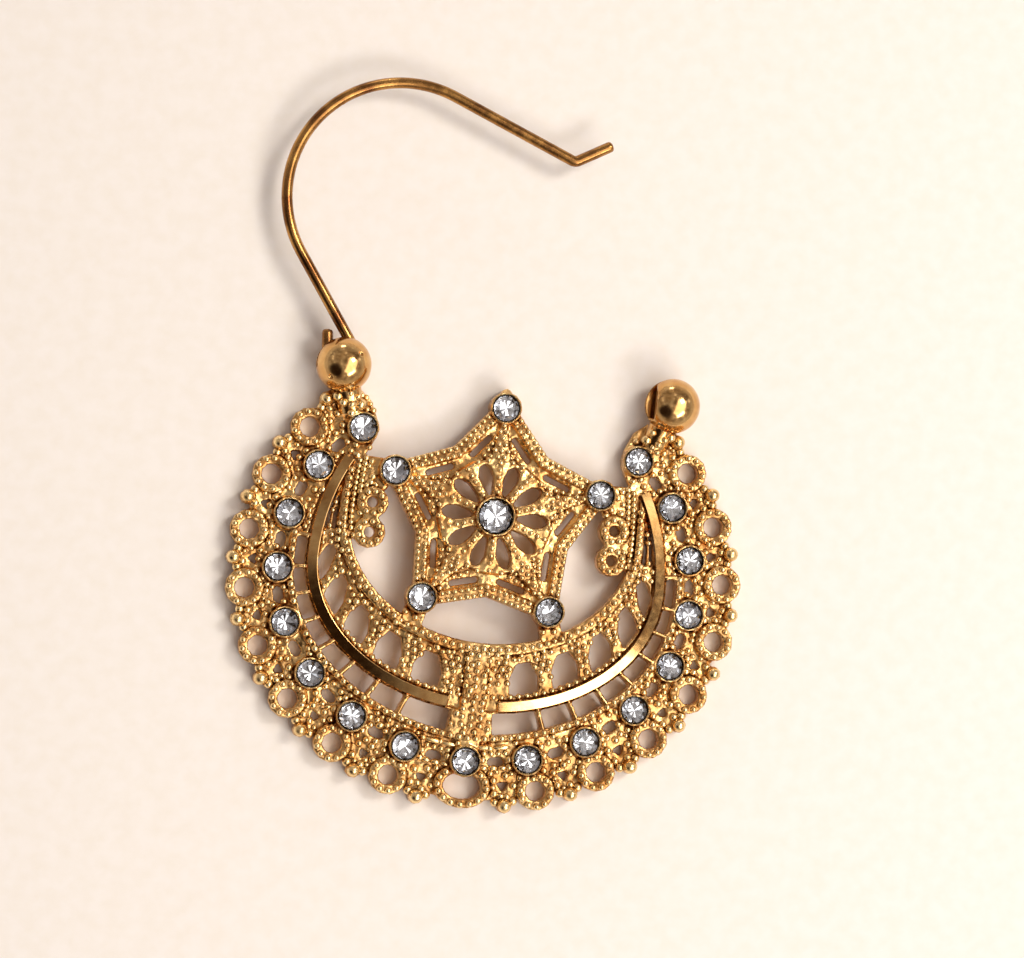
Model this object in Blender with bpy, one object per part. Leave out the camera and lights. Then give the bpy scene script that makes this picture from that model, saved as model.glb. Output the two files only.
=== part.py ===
"""Hoop earring: a pierced crescent that carries a star, set with round stones, on a hinged ear wire.

Lengths are in millimetres and become metres as each mesh is made. In the layout the star's centre
is the origin, X runs to the right, Y towards the ear wire and Z out of the face. The finished
earring lies on its back, with the world origin under the middle of its outline.
"""

import math
from collections import namedtuple

import bmesh
import bpy
from mathutils import Matrix, Vector
from mathutils.geometry import delaunay_2d_cdt

MM = 0.001

# The cast plate
PLATE_THICKNESS = 0.9
RIM_RISE = 0.35
BAND_RISE = 0.5
DOME_RISE = 1.5
FLAT_RIM_WIDTH = 2.8

# Stones and their cups
STONE_RADIUS = 0.95
CENTRE_STONE_RADIUS = 1.25
STONE_CLEARANCE = 0.08
CUP_WALL = 0.14
CUP_RISE = 0.75
SEAT_DEPTH = 0.35
STONE_GAP = 0.06
STONE_HEIGHT = 1.35
STONE_FACETS = 8

# The row of stones along the crescent
STONE_ROW_CENTRE_Y = -4.5
STONE_ROW_HALF_WIDTH = 15.0
STONE_ROW_DROP = 13.1
STONES_EACH_SIDE = 8
STONE_PITCH_DEG = 17.24
STONE_GAP_LENGTH = 1.3
STONE_GAP_WIDTH = 0.7

# The loops and small balls round the outer edge
LOOP_OFFSET = 2.35
LOOPS_EACH_SIDE = 8
LOOP_FIRST_DEG = 18.0
LOOP_PITCH_DEG = 15.6
LOOP_RADIUS = 1.4
LOOP_HOLE_RADIUS = 0.75
BOTTOM_LOOP_RAISED = 0.55
BOTTOM_LOOP_HALF_WIDTH = 2.1
BOTTOM_LOOP_HALF_HEIGHT = 1.6
BOTTOM_HOLE_HALF_WIDTH = 1.4
BOTTOM_HOLE_HALF_HEIGHT = 0.95
OUTLINE_OFFSET = 2.75
EDGE_BALL_OFFSET = 3.15
EDGE_BALL_RADIUS = 0.55
EDGE_GAP_OFFSET = 1.75
EDGE_GAP_RADIUS = 0.45

# The right horn's outline, as steps from its top stone
HORN_STEPS = [
    (3.4, 1.1),
    (3.0, 2.2),
    (1.9, 2.9),
    (0.6, 2.9),
    (-0.4, 2.1),
    (-1.0, 0.8),
    (-1.1, -0.5),
    (-0.5, -1.7),
]

# The polished band and the ladder outside it
BAND_CENTRE_Y = -4.2
BAND_HALF_WIDTH = 12.6
BAND_DROP = 9.4
BAND_CLIMB = 14.0
BAND_WIDTH = 0.75
BAND_START_DEG = 8.5
BAND_END_DEG = 121.0
LADDER_INNER_OFFSET = 0.5
LADDER_SIDE_WIDTH = 0.75
LADDER_BOTTOM_WIDTH = 1.6
LADDER_FIRST_DEG = 6.5
LADDER_WIDE_DEG = 21.3
LADDER_PITCH_DEG = 10.6
LADDER_SQUARES = 7
STRUT_DEG = 1.5
RAIL_WIDTH = 0.45
RIB_WIDTH = 1.7

# The inner edge and the clusters between it and the band
INNER_CENTRE_Y = -1.0
INNER_HALF_WIDTH = 10.7
INNER_DROP = 8.5
INNER_CLIMB = 20.0
INNER_EDGE_WIDTH = 0.8
INNER_END_DEG = 10.0
CLUSTER_GAPS = 5
CLUSTER_FIRST_DEG = 17.3
CLUSTER_PITCH_DEG = 15.6
SLIVER_LOW_Y = -2.2
SLIVER_HIGH_Y = 1.4

# The star
STAR_TIP_RADIUS = 8.85
STAR_NOTCH_RADIUS = 5.8
STAR_EDGE_WIDTH = 0.85
STAR_STONE_RADIUS_AT = 7.85
FLOWER_RADIUS = 4.15
PETAL_LENGTH = 2.25
PETAL_WIDTH = 1.05
SLOT_LENGTH = 2.1
SLOT_WIDTH = 0.42
SLOT_INSET = 1.35
SLOT_FROM_TIP = 3.95
TIP_BALL_RADIUS = 0.45

# The brackets that join the star to the crescent
BRACKET_RING_RADIUS = 1.15
BRACKET_HOLE_RADIUS = 0.4
BRACKET_RING_INSET = 1.9
BRACKET_PITCH = 2.15
SOLDER_HALF_WIDTH = 0.8

# The hinge ball on the left horn and the catch ball on the right one
BALL_SPAN = 24.0
BALL_Y = 9.5
BALL_RADIUS = 2.0
NECK_BALL_RADIUS = 1.05
NECK_HORN_RADIUS = 0.9
SLOT_THICKNESS = 1.0
HINGE_SLOT_RADIUS = 1.75
HINGE_SLOT_BELOW = 0.4
POST_RADIUS = 0.7
CATCH_SLOT_BELOW = 1.1
CATCH_TRIM_AT = 1.35

# The ear wire, measured from the hinge post
WIRE_RADIUS = 0.4
WIRE_EYE_RADIUS = 1.2
WIRE_STUB_LENGTH = 2.5
WIRE_STUB_DEG = 186.0
ARCH_CENTRE_X = 2.8
ARCH_CENTRE_Y = 12.4
ARCH_RADIUS = 8.3
FALL_DEG = -21.0
FALL_LENGTH = 9.8
TAIL_BEND_RADIUS = 0.6
TAIL_DEG = 31.0
TAIL_LENGTH = 3.0

Row = namedtuple("Row", "centre_y half_width drop climb")
Cup = namedtuple("Cup", "name x y stone_radius")

STONE_ROW = Row(STONE_ROW_CENTRE_Y, STONE_ROW_HALF_WIDTH, STONE_ROW_DROP, STONE_ROW_DROP)
BAND_ROW = Row(BAND_CENTRE_Y, BAND_HALF_WIDTH, BAND_DROP, BAND_CLIMB)
INNER_ROW = Row(INNER_CENTRE_Y, INNER_HALF_WIDTH, INNER_DROP, INNER_CLIMB)


def widened(row, by):
    """The row moved outwards."""
    return Row(row.centre_y, row.half_width + by, row.drop + by, row.climb + by)


def row_point(row, from_bottom):
    """The point of a row that lies this many degrees from its lowest point, positive to the right."""
    angle = math.radians(from_bottom - 90.0)
    reach = row.drop if math.sin(angle) < 0.0 else row.climb
    return Vector((row.half_width * math.cos(angle), row.centre_y + reach * math.sin(angle)))


def row_x(row, y):
    """Half the row's width at a height."""
    rise = y - row.centre_y
    reach = row.climb if rise > 0.0 else row.drop
    return row.half_width * math.sqrt(max(0.0, 1.0 - (rise / reach) ** 2))


def row_axes(row, from_bottom):
    """A point of a row with the directions along the row and outwards."""
    step = 0.5
    point = row_point(row, from_bottom)
    along = (row_point(row, from_bottom + step) - row_point(row, from_bottom - step)).normalized()
    return point, along, Vector((along.y, -along.x))


def polar(radius, angle):
    return Vector((radius * math.cos(math.radians(angle)), radius * math.sin(math.radians(angle))))


def spread(start, end, steps):
    return [start + (end - start) * i / steps for i in range(steps + 1)]


def disc(x, y, radius, sides, radius_y=None, turn=0.0):
    """A round outline, or an oval one where it has a second radius."""
    tall = radius if radius_y is None else radius_y
    angles = [turn + math.tau * i / sides for i in range(sides)]
    return [Vector((x + radius * math.cos(a), y + tall * math.sin(a))) for a in angles]


def strip(row, inner, outer, start, end, steps):
    """A band along a row between two offsets from it."""
    angles = spread(start, end, steps)
    out_side = [row_point(widened(row, outer), a) for a in angles]
    in_side = [row_point(widened(row, inner), a) for a in reversed(angles)]
    return out_side + in_side


def placed(shape, point, along, outwards):
    """A small outline in (along, outwards) lengths, set at a point."""
    return [point + along * u + outwards * v for u, v in shape]


def mirrored(outline):
    return [Vector((-p.x, p.y)) for p in outline]


def stations(first, pitch, count):
    """Degrees from the bottom, on both sides."""
    right = [first + pitch * i for i in range(count)]
    return [-a for a in right] + right


LOOP_ROW = widened(STONE_ROW, LOOP_OFFSET)
LOOP_LAST_DEG = LOOP_FIRST_DEG + LOOP_PITCH_DEG * (LOOPS_EACH_SIDE - 1)
LOOP_STATIONS = stations(LOOP_FIRST_DEG, LOOP_PITCH_DEG, LOOPS_EACH_SIDE)
EDGE_STATIONS = stations(LOOP_FIRST_DEG - LOOP_PITCH_DEG / 2.0, LOOP_PITCH_DEG, LOOPS_EACH_SIDE + 1)
BOTTOM_LOOP_Y = row_point(LOOP_ROW, 0.0).y + BOTTOM_LOOP_RAISED
BALL_X = BALL_SPAN / 2.0
TOP_STONE = row_point(STONE_ROW, STONE_PITCH_DEG * STONES_EACH_SIDE)
STAR_TIPS = [90.0 + 72.0 * i for i in range(5)]


def cup_list():
    """Every stone with its place, the crescent's from left to right."""
    cups = []
    for number, i in enumerate(range(-STONES_EACH_SIDE, STONES_EACH_SIDE + 1), start=1):
        at = row_point(STONE_ROW, STONE_PITCH_DEG * i)
        cups.append(Cup(f"crescent_stone_{number:02d}", at.x, at.y, STONE_RADIUS))
    for number, angle in enumerate(STAR_TIPS, start=1):
        at = polar(STAR_STONE_RADIUS_AT, angle)
        cups.append(Cup(f"star_stone_{number}", at.x, at.y, STONE_RADIUS))
    cups.append(Cup("centre_stone", 0.0, 0.0, CENTRE_STONE_RADIUS))
    return cups


CUPS = cup_list()


def seat_radius(cup):
    return cup.stone_radius + STONE_CLEARANCE


def cup_radius(cup):
    return seat_radius(cup) + CUP_WALL


def dome(x, y):
    """How far the plate's back stands off the table: nothing at the rim, most in the middle."""
    rim = widened(STONE_ROW, EDGE_BALL_OFFSET + EDGE_BALL_RADIUS)
    flat_from = 1.0 - FLAT_RIM_WIDTH / rim.half_width
    share = (x / rim.half_width) ** 2 + ((y - rim.centre_y) / rim.drop) ** 2
    return DOME_RISE * max(0.0, 1.0 - share / flat_from**2)


GROUND, RIM, BAND, HOLE = "ground", "rim", "band", "hole"
RANKS = {HOLE: 0, "seat": 1, GROUND: 2, RIM: 3, BAND: 4, "cup": 5}
RISES = {GROUND: 0.0, RIM: RIM_RISE, BAND: BAND_RISE}


def front_height(kind, x, y):
    """The height of the face of the plate in a painted area. A cup and its seat lie level."""
    if isinstance(kind, tuple):
        part, index = kind
        base = dome(CUPS[index].x, CUPS[index].y) + PLATE_THICKNESS
        return base + (CUP_RISE if part == "cup" else -SEAT_DEPTH)
    return dome(x, y) + PLATE_THICKNESS + RISES[kind]


def crescent_outline():
    """The crescent without its loops: outer edge, right horn, inner edge, left horn."""
    end = LOOP_LAST_DEG
    outer = [row_point(widened(STONE_ROW, OUTLINE_OFFSET), a) for a in spread(-end, end, 40)]
    horn = [TOP_STONE + Vector(step) for step in HORN_STEPS]
    edge = widened(INNER_ROW, -INNER_EDGE_WIDTH / 2.0)
    inner_end = 90.0 + INNER_END_DEG
    inner = [row_point(edge, a) for a in spread(inner_end, -inner_end, 36)]
    return outer + horn + inner + list(reversed(mirrored(horn)))


def paint_crescent(paint):
    paint(GROUND, crescent_outline())
    inner_end = 90.0 + INNER_END_DEG
    half_edge = INNER_EDGE_WIDTH / 2.0
    paint(RIM, strip(INNER_ROW, -half_edge, half_edge, -inner_end, inner_end, 36))
    for a in EDGE_STATIONS:
        at = row_point(widened(STONE_ROW, EDGE_BALL_OFFSET), a)
        paint(RIM, disc(at.x, at.y, EDGE_BALL_RADIUS, 8, turn=math.radians(a)))
    for a in LOOP_STATIONS:
        at = row_point(LOOP_ROW, a)
        paint(RIM, disc(at.x, at.y, LOOP_RADIUS, 12, turn=math.radians(a)))
    paint(RIM, disc(0.0, BOTTOM_LOOP_Y, BOTTOM_LOOP_HALF_WIDTH, 16, BOTTOM_LOOP_HALF_HEIGHT))
    for a in LOOP_STATIONS:
        at = row_point(LOOP_ROW, a)
        paint(HOLE, disc(at.x, at.y, LOOP_HOLE_RADIUS, 8, turn=math.radians(a)))
    paint(HOLE, disc(0.0, BOTTOM_LOOP_Y, BOTTOM_HOLE_HALF_WIDTH, 12, BOTTOM_HOLE_HALF_HEIGHT))


def ladder_width(from_bottom):
    """The ladder narrows from the bottom of the crescent to its sides."""
    share = min(1.0, abs(from_bottom) / 90.0)
    return LADDER_BOTTOM_WIDTH + (LADDER_SIDE_WIDTH - LADDER_BOTTOM_WIDTH) * share


def ladder_piece(start, end, inner, beyond, steps):
    """An area of the ladder from one offset to its outer line or beyond it."""
    angles = spread(start, end, steps)
    far = [row_point(widened(BAND_ROW, LADDER_INNER_OFFSET + ladder_width(a) + beyond), a) for a in angles]
    near = [row_point(widened(BAND_ROW, inner), a) for a in reversed(angles)]
    return far + near


def paint_band_and_ladder(paint):
    half = BAND_WIDTH / 2.0
    last = LADDER_WIDE_DEG + LADDER_PITCH_DEG * LADDER_SQUARES
    paint(RIM, ladder_piece(-last, last, half, RAIL_WIDTH, 36))
    for side in (1, -1):
        ends = sorted((side * BAND_START_DEG, side * last))
        paint(BAND, ladder_piece(ends[0], ends[1], -half, RAIL_WIDTH / 3.0, 20))
        ends = sorted((side * last, side * BAND_END_DEG))
        paint(BAND, strip(BAND_ROW, -half, half, ends[0], ends[1], 8))
    rib_low = row_point(STONE_ROW, 0.0).y
    rib_high = row_point(INNER_ROW, 0.0).y
    rib = [(-1, rib_low), (1, rib_low), (1, rib_high), (-1, rib_high)]
    paint(RIM, [Vector((side * RIB_WIDTH / 2.0, y)) for side, y in rib])
    bars = [LADDER_FIRST_DEG - STRUT_DEG / 2.0]
    bars += [LADDER_WIDE_DEG + LADDER_PITCH_DEG * i for i in range(LADDER_SQUARES + 1)]
    for start, end in zip(bars, bars[1:]):
        start, end = start + STRUT_DEG / 2.0, end - STRUT_DEG / 2.0
        window = ladder_piece(start, end, LADDER_INNER_OFFSET, 0.0, 2)
        paint(HOLE, window)
        paint(HOLE, mirrored(window))


def zone_point(from_bottom, share):
    """A point between the inner edge and the band."""
    return row_point(INNER_ROW, from_bottom).lerp(row_point(BAND_ROW, from_bottom), share)


def paint_cluster_gaps(paint):
    shape = [(-2.6, 0.26), (2.6, 0.26), (5.4, 0.54), (5.0, 0.82), (-5.0, 0.82), (-5.4, 0.54)]
    for a in stations(CLUSTER_FIRST_DEG, CLUSTER_PITCH_DEG, CLUSTER_GAPS):
        paint(HOLE, [zone_point(a + da, share) for da, share in shape])
    heights = spread(SLIVER_LOW_Y, SLIVER_HIGH_Y, 4)
    for near, far in ((0.30, 0.46), (0.56, 0.74)):
        sides = [(far, heights), (near, list(reversed(heights)))]
        sliver = [
            Vector((row_x(INNER_ROW, y) + (row_x(BAND_ROW, y) - row_x(INNER_ROW, y)) * share, y))
            for share, ys in sides
            for y in ys
        ]
        paint(HOLE, sliver)
        paint(HOLE, mirrored(sliver))


def paint_stone_gaps(paint):
    """The gaps between neighbouring stones and the small three-cornered ones behind the edge balls."""
    u, v = STONE_GAP_LENGTH / 2.0, STONE_GAP_WIDTH / 2.0
    oblong = [(-u, 0.0), (-0.6 * u, -v), (0.6 * u, -v), (u, 0.0), (0.6 * u, v), (-0.6 * u, v)]
    for i in range(-STONES_EACH_SIDE, STONES_EACH_SIDE):
        paint(HOLE, placed(oblong, *row_axes(STONE_ROW, STONE_PITCH_DEG * (i + 0.5))))
    corner = EDGE_GAP_RADIUS
    three = [(-corner, -0.6 * corner), (corner, -0.6 * corner), (0.0, corner)]
    for a in EDGE_STATIONS:
        if abs(a) < LOOP_LAST_DEG:
            paint(HOLE, placed(three, *row_axes(widened(STONE_ROW, EDGE_GAP_OFFSET), a)))


def star_outline(inset):
    """The star's ten corners, with its edges moved inwards."""
    tip, notch = polar(STAR_TIP_RADIUS, 90.0), polar(STAR_NOTCH_RADIUS, 54.0)
    edge = (notch - tip).normalized()
    in_wards = Vector((edge.y, -edge.x))
    line = tip + in_wards * inset
    tip_y = line.y - edge.y * line.x / edge.x
    ray = polar(1.0, 54.0)
    reach = line.cross(edge) / ray.cross(edge)
    return [polar(tip_y if i % 2 == 0 else reach, 90.0 + 36.0 * i) for i in range(10)]


def paint_bracket(paint):
    """The granulated arm and the two ringlets beside a side point of the star, right-hand side."""
    tip = polar(STAR_TIP_RADIUS, 18.0)
    ring_x = INNER_HALF_WIDTH - BRACKET_RING_INSET
    low_y = -BRACKET_PITCH - BRACKET_RING_RADIUS / 2.0
    arm = [
        tip + Vector((-0.8, 0.5)),
        tip + Vector((-0.6, -1.6)),
        Vector((ring_x, 0.0)),
        Vector((ring_x, low_y)),
        Vector((row_x(INNER_ROW, low_y), low_y)),
        Vector((row_x(INNER_ROW, tip.y), tip.y + 0.6)),
    ]
    rings = [disc(ring_x, -BRACKET_PITCH * i, BRACKET_RING_RADIUS, 12) for i in range(2)]
    holes = [disc(ring_x, -BRACKET_PITCH * i, BRACKET_HOLE_RADIUS, 8) for i in range(2)]
    for kind, outlines in ((GROUND, [arm]), (RIM, rings), (HOLE, holes)):
        for outline in outlines:
            paint(kind, outline)
            paint(kind, mirrored(outline))


def paint_solder(paint):
    """The bridge of solder between a lower point of the star and the inner edge."""
    for angle in (-54.0, -126.0):
        tip = polar(STAR_STONE_RADIUS_AT, angle)
        foot = Vector((tip.x * 1.12, 0.0))
        foot.y = INNER_ROW.centre_y - INNER_DROP * math.sqrt(1.0 - (foot.x / INNER_HALF_WIDTH) ** 2)
        across = Vector((tip.y - foot.y, foot.x - tip.x)).normalized() * SOLDER_HALF_WIDTH
        paint(GROUND, [tip - across, tip + across, foot + across, foot - across])


def paint_star(paint):
    at = polar(STAR_TIP_RADIUS, 90.0)
    paint(RIM, disc(at.x, at.y, TIP_BALL_RADIUS, 8))
    paint(RIM, star_outline(0.0))
    paint(GROUND, star_outline(STAR_EDGE_WIDTH))
    for angle in STAR_TIPS:
        wedge = [polar(FLOWER_RADIUS - 0.4, angle - 12), polar(FLOWER_RADIUS - 0.4, angle + 12)]
        paint(RIM, [polar(STAR_STONE_RADIUS_AT, angle)] + wedge[::-1])
    paint(RIM, disc(0.0, 0.0, FLOWER_RADIUS, 20, turn=math.radians(9.0)))
    petal_from = cup_radius(CUPS[-1]) + 0.12
    half = PETAL_WIDTH / 2.0
    petal = [(0.0, 0.25), (0.28, 0.7), (0.58, 1.0), (0.85, 0.8), (1.0, 0.25)]
    for i in range(10):
        out = polar(1.0, 108.0 + 36.0 * i)
        across = Vector((-out.y, out.x))
        left = [out * (petal_from + PETAL_LENGTH * s) + across * half * w for s, w in petal]
        right = [out * (petal_from + PETAL_LENGTH * s) - across * half * w for s, w in reversed(petal)]
        paint(HOLE, left + right)
    edge = (polar(STAR_NOTCH_RADIUS, 54.0) - polar(STAR_TIP_RADIUS, 90.0)).normalized()
    inwards = Vector((edge.y, -edge.x))
    middle = polar(STAR_TIP_RADIUS, 90.0) + edge * SLOT_FROM_TIP + inwards * SLOT_INSET
    u, v = SLOT_LENGTH / 2.0, SLOT_WIDTH / 2.0
    slot = placed([(-u, -v), (u, -v), (u, v), (-u, v)], middle, edge, inwards)
    for angle in STAR_TIPS:
        turn = Matrix.Rotation(math.radians(angle - 90.0), 2)
        for outline in (slot, mirrored(slot)):
            paint(HOLE, [turn @ p for p in outline])


def paint_cups(paint):
    for index, cup in enumerate(CUPS):
        paint(("cup", index), disc(cup.x, cup.y, cup_radius(cup), 12))
    for index, cup in enumerate(CUPS):
        paint(("seat", index), disc(cup.x, cup.y, seat_radius(cup), 10))


def painted_areas():
    """The whole layout as outlines, each painted over those before it."""
    areas = []

    def paint(kind, outline):
        turn = sum(p.cross(q) for p, q in zip(outline, outline[1:] + outline[:1]))
        areas.append((kind, outline if turn > 0.0 else outline[::-1]))

    paint_crescent(paint)
    paint_band_and_ladder(paint)
    paint_cluster_gaps(paint)
    paint_stone_gaps(paint)
    paint_bracket(paint)
    paint_solder(paint)
    paint_star(paint)
    paint_cups(paint)
    return areas


def edges_of(corners):
    return list(zip(corners, corners[1:] + corners[:1]))


def rank(kind):
    return RANKS[kind[0] if isinstance(kind, tuple) else kind]


def low_runs(ranks, level):
    """The stretches of a closed ring of ranks that lie below a level."""
    start = next(i for i, r in enumerate(ranks) if r >= level)
    runs, run = [], []
    for step in range(1, len(ranks) + 1):
        i = (start + step) % len(ranks)
        if ranks[i] < level:
            run.append(i)
        elif run:
            runs.append(run)
            run = []
    return runs


def close_pinches(triangles, kinds):
    """Where metal would touch metal at a single corner, the smaller gap beside it is filled."""
    fans = {}
    for t, corners in enumerate(triangles):
        for i, v in enumerate(corners):
            fans.setdefault(v, {})[corners[(i + 1) % 3]] = (corners[(i + 2) % 3], t)
    for fan in fans.values():
        at = next(iter(fan))
        ring = []
        while at in fan and len(ring) < len(fan):
            at, t = fan[at]
            ring.append(t)
        if len(ring) < len(fan):
            continue
        for level in sorted({rank(kinds[t]) for t in ring})[1:]:
            runs = low_runs([rank(kinds[t]) for t in ring], level)
            if len(runs) > 1:
                fill = next(kinds[t] for t in ring if rank(kinds[t]) == level)
                for i in min(runs, key=len):
                    kinds[ring[i]] = fill


def flat_regions(areas):
    """Splits the painted outlines into points and the directed edges between areas that differ."""
    points, faces = [], []
    for _, outline in areas:
        faces.append(list(range(len(points), len(points) + len(outline))))
        points.extend(outline)
    points, _, triangles, _, _, owners = delaunay_2d_cdt(points, [], faces, 0, 0.01, True)
    triangles = [list(corners) for corners in triangles]
    kinds = [areas[max(owner)][0] if owner else HOLE for owner in owners]
    close_pinches(triangles, kinds)
    side = {}
    for corners, kind in zip(triangles, kinds):
        for edge in edges_of(corners):
            side[edge] = kind
    borders = {}
    for (a, b), kind in side.items():
        if kind != side.get((b, a), HOLE):
            borders[(a, b)] = kind
            borders.setdefault((b, a), side.get((b, a), HOLE))
    return points, borders


def triangulated(points, borders):
    """Triangles between the borders, each with the kind of its area."""
    used = sorted({v for edge in borders for v in edge})
    number = {v: i for i, v in enumerate(used)}
    links = [(number[a], number[b]) for a, b in borders if a < b]
    places = [points[v] for v in used]
    _, _, triangles, origins, _, _ = delaunay_2d_cdt(places, links, [], 0, 0.00001, True)
    named = [[used[origins[v][0]] for v in corners] for corners in triangles]
    owner = {edge: t for t, corners in enumerate(named) for edge in edges_of(corners)}
    kinds = [None] * len(named)
    reached = []
    for edge, kind in borders.items():
        if edge in owner and kinds[owner[edge]] is None:
            kinds[owner[edge]] = kind
            reached.append(owner[edge])
    while reached:
        t = reached.pop()
        for a, b in edges_of(named[t]):
            other = owner.get((b, a))
            if (a, b) not in borders and other is not None and kinds[other] is None:
                kinds[other] = kinds[t]
                reached.append(other)
    return [(corners, kind) for corners, kind in zip(named, kinds) if kind not in (None, HOLE)]


def plate_mesh():
    """The pierced plate: a terraced face, a plain domed back and upright walls between them."""
    points, borders = flat_regions(painted_areas())
    rims = {}
    for edge, kind in borders.items():
        other = borders[(edge[1], edge[0])]
        if HOLE in (kind, other):
            rims[edge] = HOLE if kind == HOLE else GROUND
    front = triangulated(points, borders)
    back = triangulated(points, rims)
    height = {}
    levels = {}
    for corners, kind in front:
        for v in corners:
            height[v, kind] = round(front_height(kind, points[v].x, points[v].y), 5)
            levels.setdefault(v, set()).add(height[v, kind])
    for edge in rims:
        for v in edge:
            height[v, HOLE] = round(dome(points[v].x, points[v].y), 5)
            levels.setdefault(v, set()).add(height[v, HOLE])

    vertices, numbers, faces = [], {}, []

    def vertex(v, z):
        if (v, z) not in numbers:
            numbers[v, z] = len(vertices)
            vertices.append((points[v].x * MM, points[v].y * MM, z * MM))
        return numbers[v, z]

    for corners, kind in front:
        faces.append([vertex(v, height[v, kind]) for v in corners])
    for corners, _ in back:
        faces.append([vertex(v, height.setdefault((v, HOLE), 0.0)) for v in reversed(corners)])
    for (a, b), kind in borders.items():
        other = borders[(b, a)]
        if kind == HOLE or height[a, kind] <= height[a, other]:
            continue
        climb_a = sorted(z for z in levels[a] if height[a, other] <= z <= height[a, kind])
        climb_b = sorted(z for z in levels[b] if height[b, other] <= z <= height[b, kind])
        i = j = 0
        while i < len(climb_a) - 1 or j < len(climb_b) - 1:
            on_b = i == len(climb_a) - 1 or (j < len(climb_b) - 1 and climb_b[j + 1] <= climb_a[i + 1])
            third = (b, climb_b[j + 1]) if on_b else (a, climb_a[i + 1])
            faces.append([vertex(a, climb_a[i]), vertex(b, climb_b[j]), vertex(*third)])
            i, j = (i, j + 1) if on_b else (i + 1, j)
    mesh = bpy.data.meshes.new("filigree_hoop")
    mesh.from_pydata(vertices, [], faces)
    return mesh


def material(name, colour, metallic, roughness, transmission=0.0):
    made = bpy.data.materials.new(name)
    made.use_nodes = True
    shader = made.node_tree.nodes["Principled BSDF"]
    shader.inputs["Base Color"].default_value = (*colour, 1.0)
    shader.inputs["Metallic"].default_value = metallic
    shader.inputs["Roughness"].default_value = roughness
    shader.inputs["Transmission Weight"].default_value = transmission
    return made


def add_object(name, data, frame, place=(0.0, 0.0, 0.0), finish=None):
    """An object under the frame's empty, at a place in millimetres."""
    item = bpy.data.objects.new(name, data)
    bpy.context.scene.collection.objects.link(item)
    item.parent = frame
    item.location = Vector(place) * MM
    if finish:
        data.materials.append(finish)
    return item


def mesh_from(name, build):
    """A mesh that a function fills."""
    shape = bmesh.new()
    build(shape)
    bmesh.ops.scale(shape, vec=(MM, MM, MM), verts=shape.verts)
    mesh = bpy.data.meshes.new(name)
    shape.to_mesh(mesh)
    shape.free()
    return mesh


def box_between(shape, low, high):
    low, high = Vector(low), Vector(high)
    size = Matrix.Diagonal((*(high - low), 1.0))
    bmesh.ops.create_cube(shape, size=1.0, matrix=Matrix.Translation((low + high) / 2.0) @ size)


def round_bar(shape, start, end, start_radius, end_radius, sides):
    """A cylinder or cone between two points."""
    start, end = Vector(start), Vector(end)
    turn = (end - start).to_track_quat("Z", "Y").to_matrix().to_4x4()
    bmesh.ops.create_cone(
        shape,
        cap_ends=True,
        segments=sides,
        radius1=start_radius,
        radius2=end_radius,
        depth=(end - start).length,
        matrix=Matrix.Translation((start + end) / 2.0) @ turn,
    )


def boolean(item, tool, operation):
    """Joins or cuts with a helper that isn't a piece of the earring."""
    step = item.modifiers.new(tool.name, "BOOLEAN")
    step.operation = operation
    step.solver = "EXACT"
    step.object = tool
    tool.hide_render = True
    tool.display_type = "WIRE"


def ball_tool(name, side, frame):
    def build(shape):
        bmesh.ops.create_uvsphere(shape, u_segments=20, v_segments=12, radius=BALL_RADIUS)

    return add_object(name, mesh_from(name, build), frame, (side * BALL_X, BALL_Y, BALL_RADIUS))


def neck_tool(name, side, frame):
    """The short stem between a ball and its horn, clear of the table."""
    ball = Vector((BALL_X, BALL_Y, BALL_RADIUS))
    horn = Vector((TOP_STONE.x + 1.0, TOP_STONE.y + 1.1, NECK_HORN_RADIUS + 0.1))
    start = ball.lerp(horn, 0.3)

    def build(shape):
        left = [Vector((side * p.x, p.y, p.z)) for p in (start, horn)]
        round_bar(shape, left[0], left[1], NECK_BALL_RADIUS, NECK_HORN_RADIUS, 12)

    return add_object(name, mesh_from(name, build), frame)


def hinge_slot_tool(frame):
    """The space that the wire's eye turns in: a round pocket that is open above, round the post."""
    half = SLOT_THICKNESS / 2.0
    reach = BALL_RADIUS + 1.0
    place = (-BALL_X, BALL_Y, BALL_RADIUS)

    def pocket(shape):
        round_bar(shape, (0, 0, -half), (0, 0, half), HINGE_SLOT_RADIUS, HINGE_SLOT_RADIUS, 24)

    def mouth(shape):
        box_between(shape, (-reach, -HINGE_SLOT_BELOW, -half), (reach, reach, half))

    def post(shape):
        round_bar(shape, (0, 0, -reach), (0, 0, reach), POST_RADIUS, POST_RADIUS, 12)

    slot = add_object("hinge_slot", mesh_from("hinge_slot", mouth), frame, place)
    boolean(slot, add_object("hinge_pocket", mesh_from("hinge_pocket", pocket), frame, place), "UNION")
    boolean(slot, add_object("hinge_post", mesh_from("hinge_post", post), frame, place), "DIFFERENCE")
    return slot


def catch_slot_tool(frame):
    """The slot that the wire's tail drops into, and the flat that trims the ball's inner side."""
    half = SLOT_THICKNESS / 2.0
    reach = BALL_RADIUS + 1.0

    def build(shape):
        box_between(shape, (-reach, -CATCH_SLOT_BELOW, -half), (reach, reach, half))

    return add_object("catch_slot", mesh_from("catch_slot", build), frame, (BALL_X, BALL_Y, BALL_RADIUS))


def catch_trim_tool(frame):
    reach = BALL_RADIUS + 1.0

    def build(shape):
        box_between(shape, (-reach, -0.6 * BALL_RADIUS, -0.1), (-CATCH_TRIM_AT, reach, reach))

    return add_object("catch_trim", mesh_from("catch_trim", build), frame, (BALL_X, BALL_Y, BALL_RADIUS))


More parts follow.
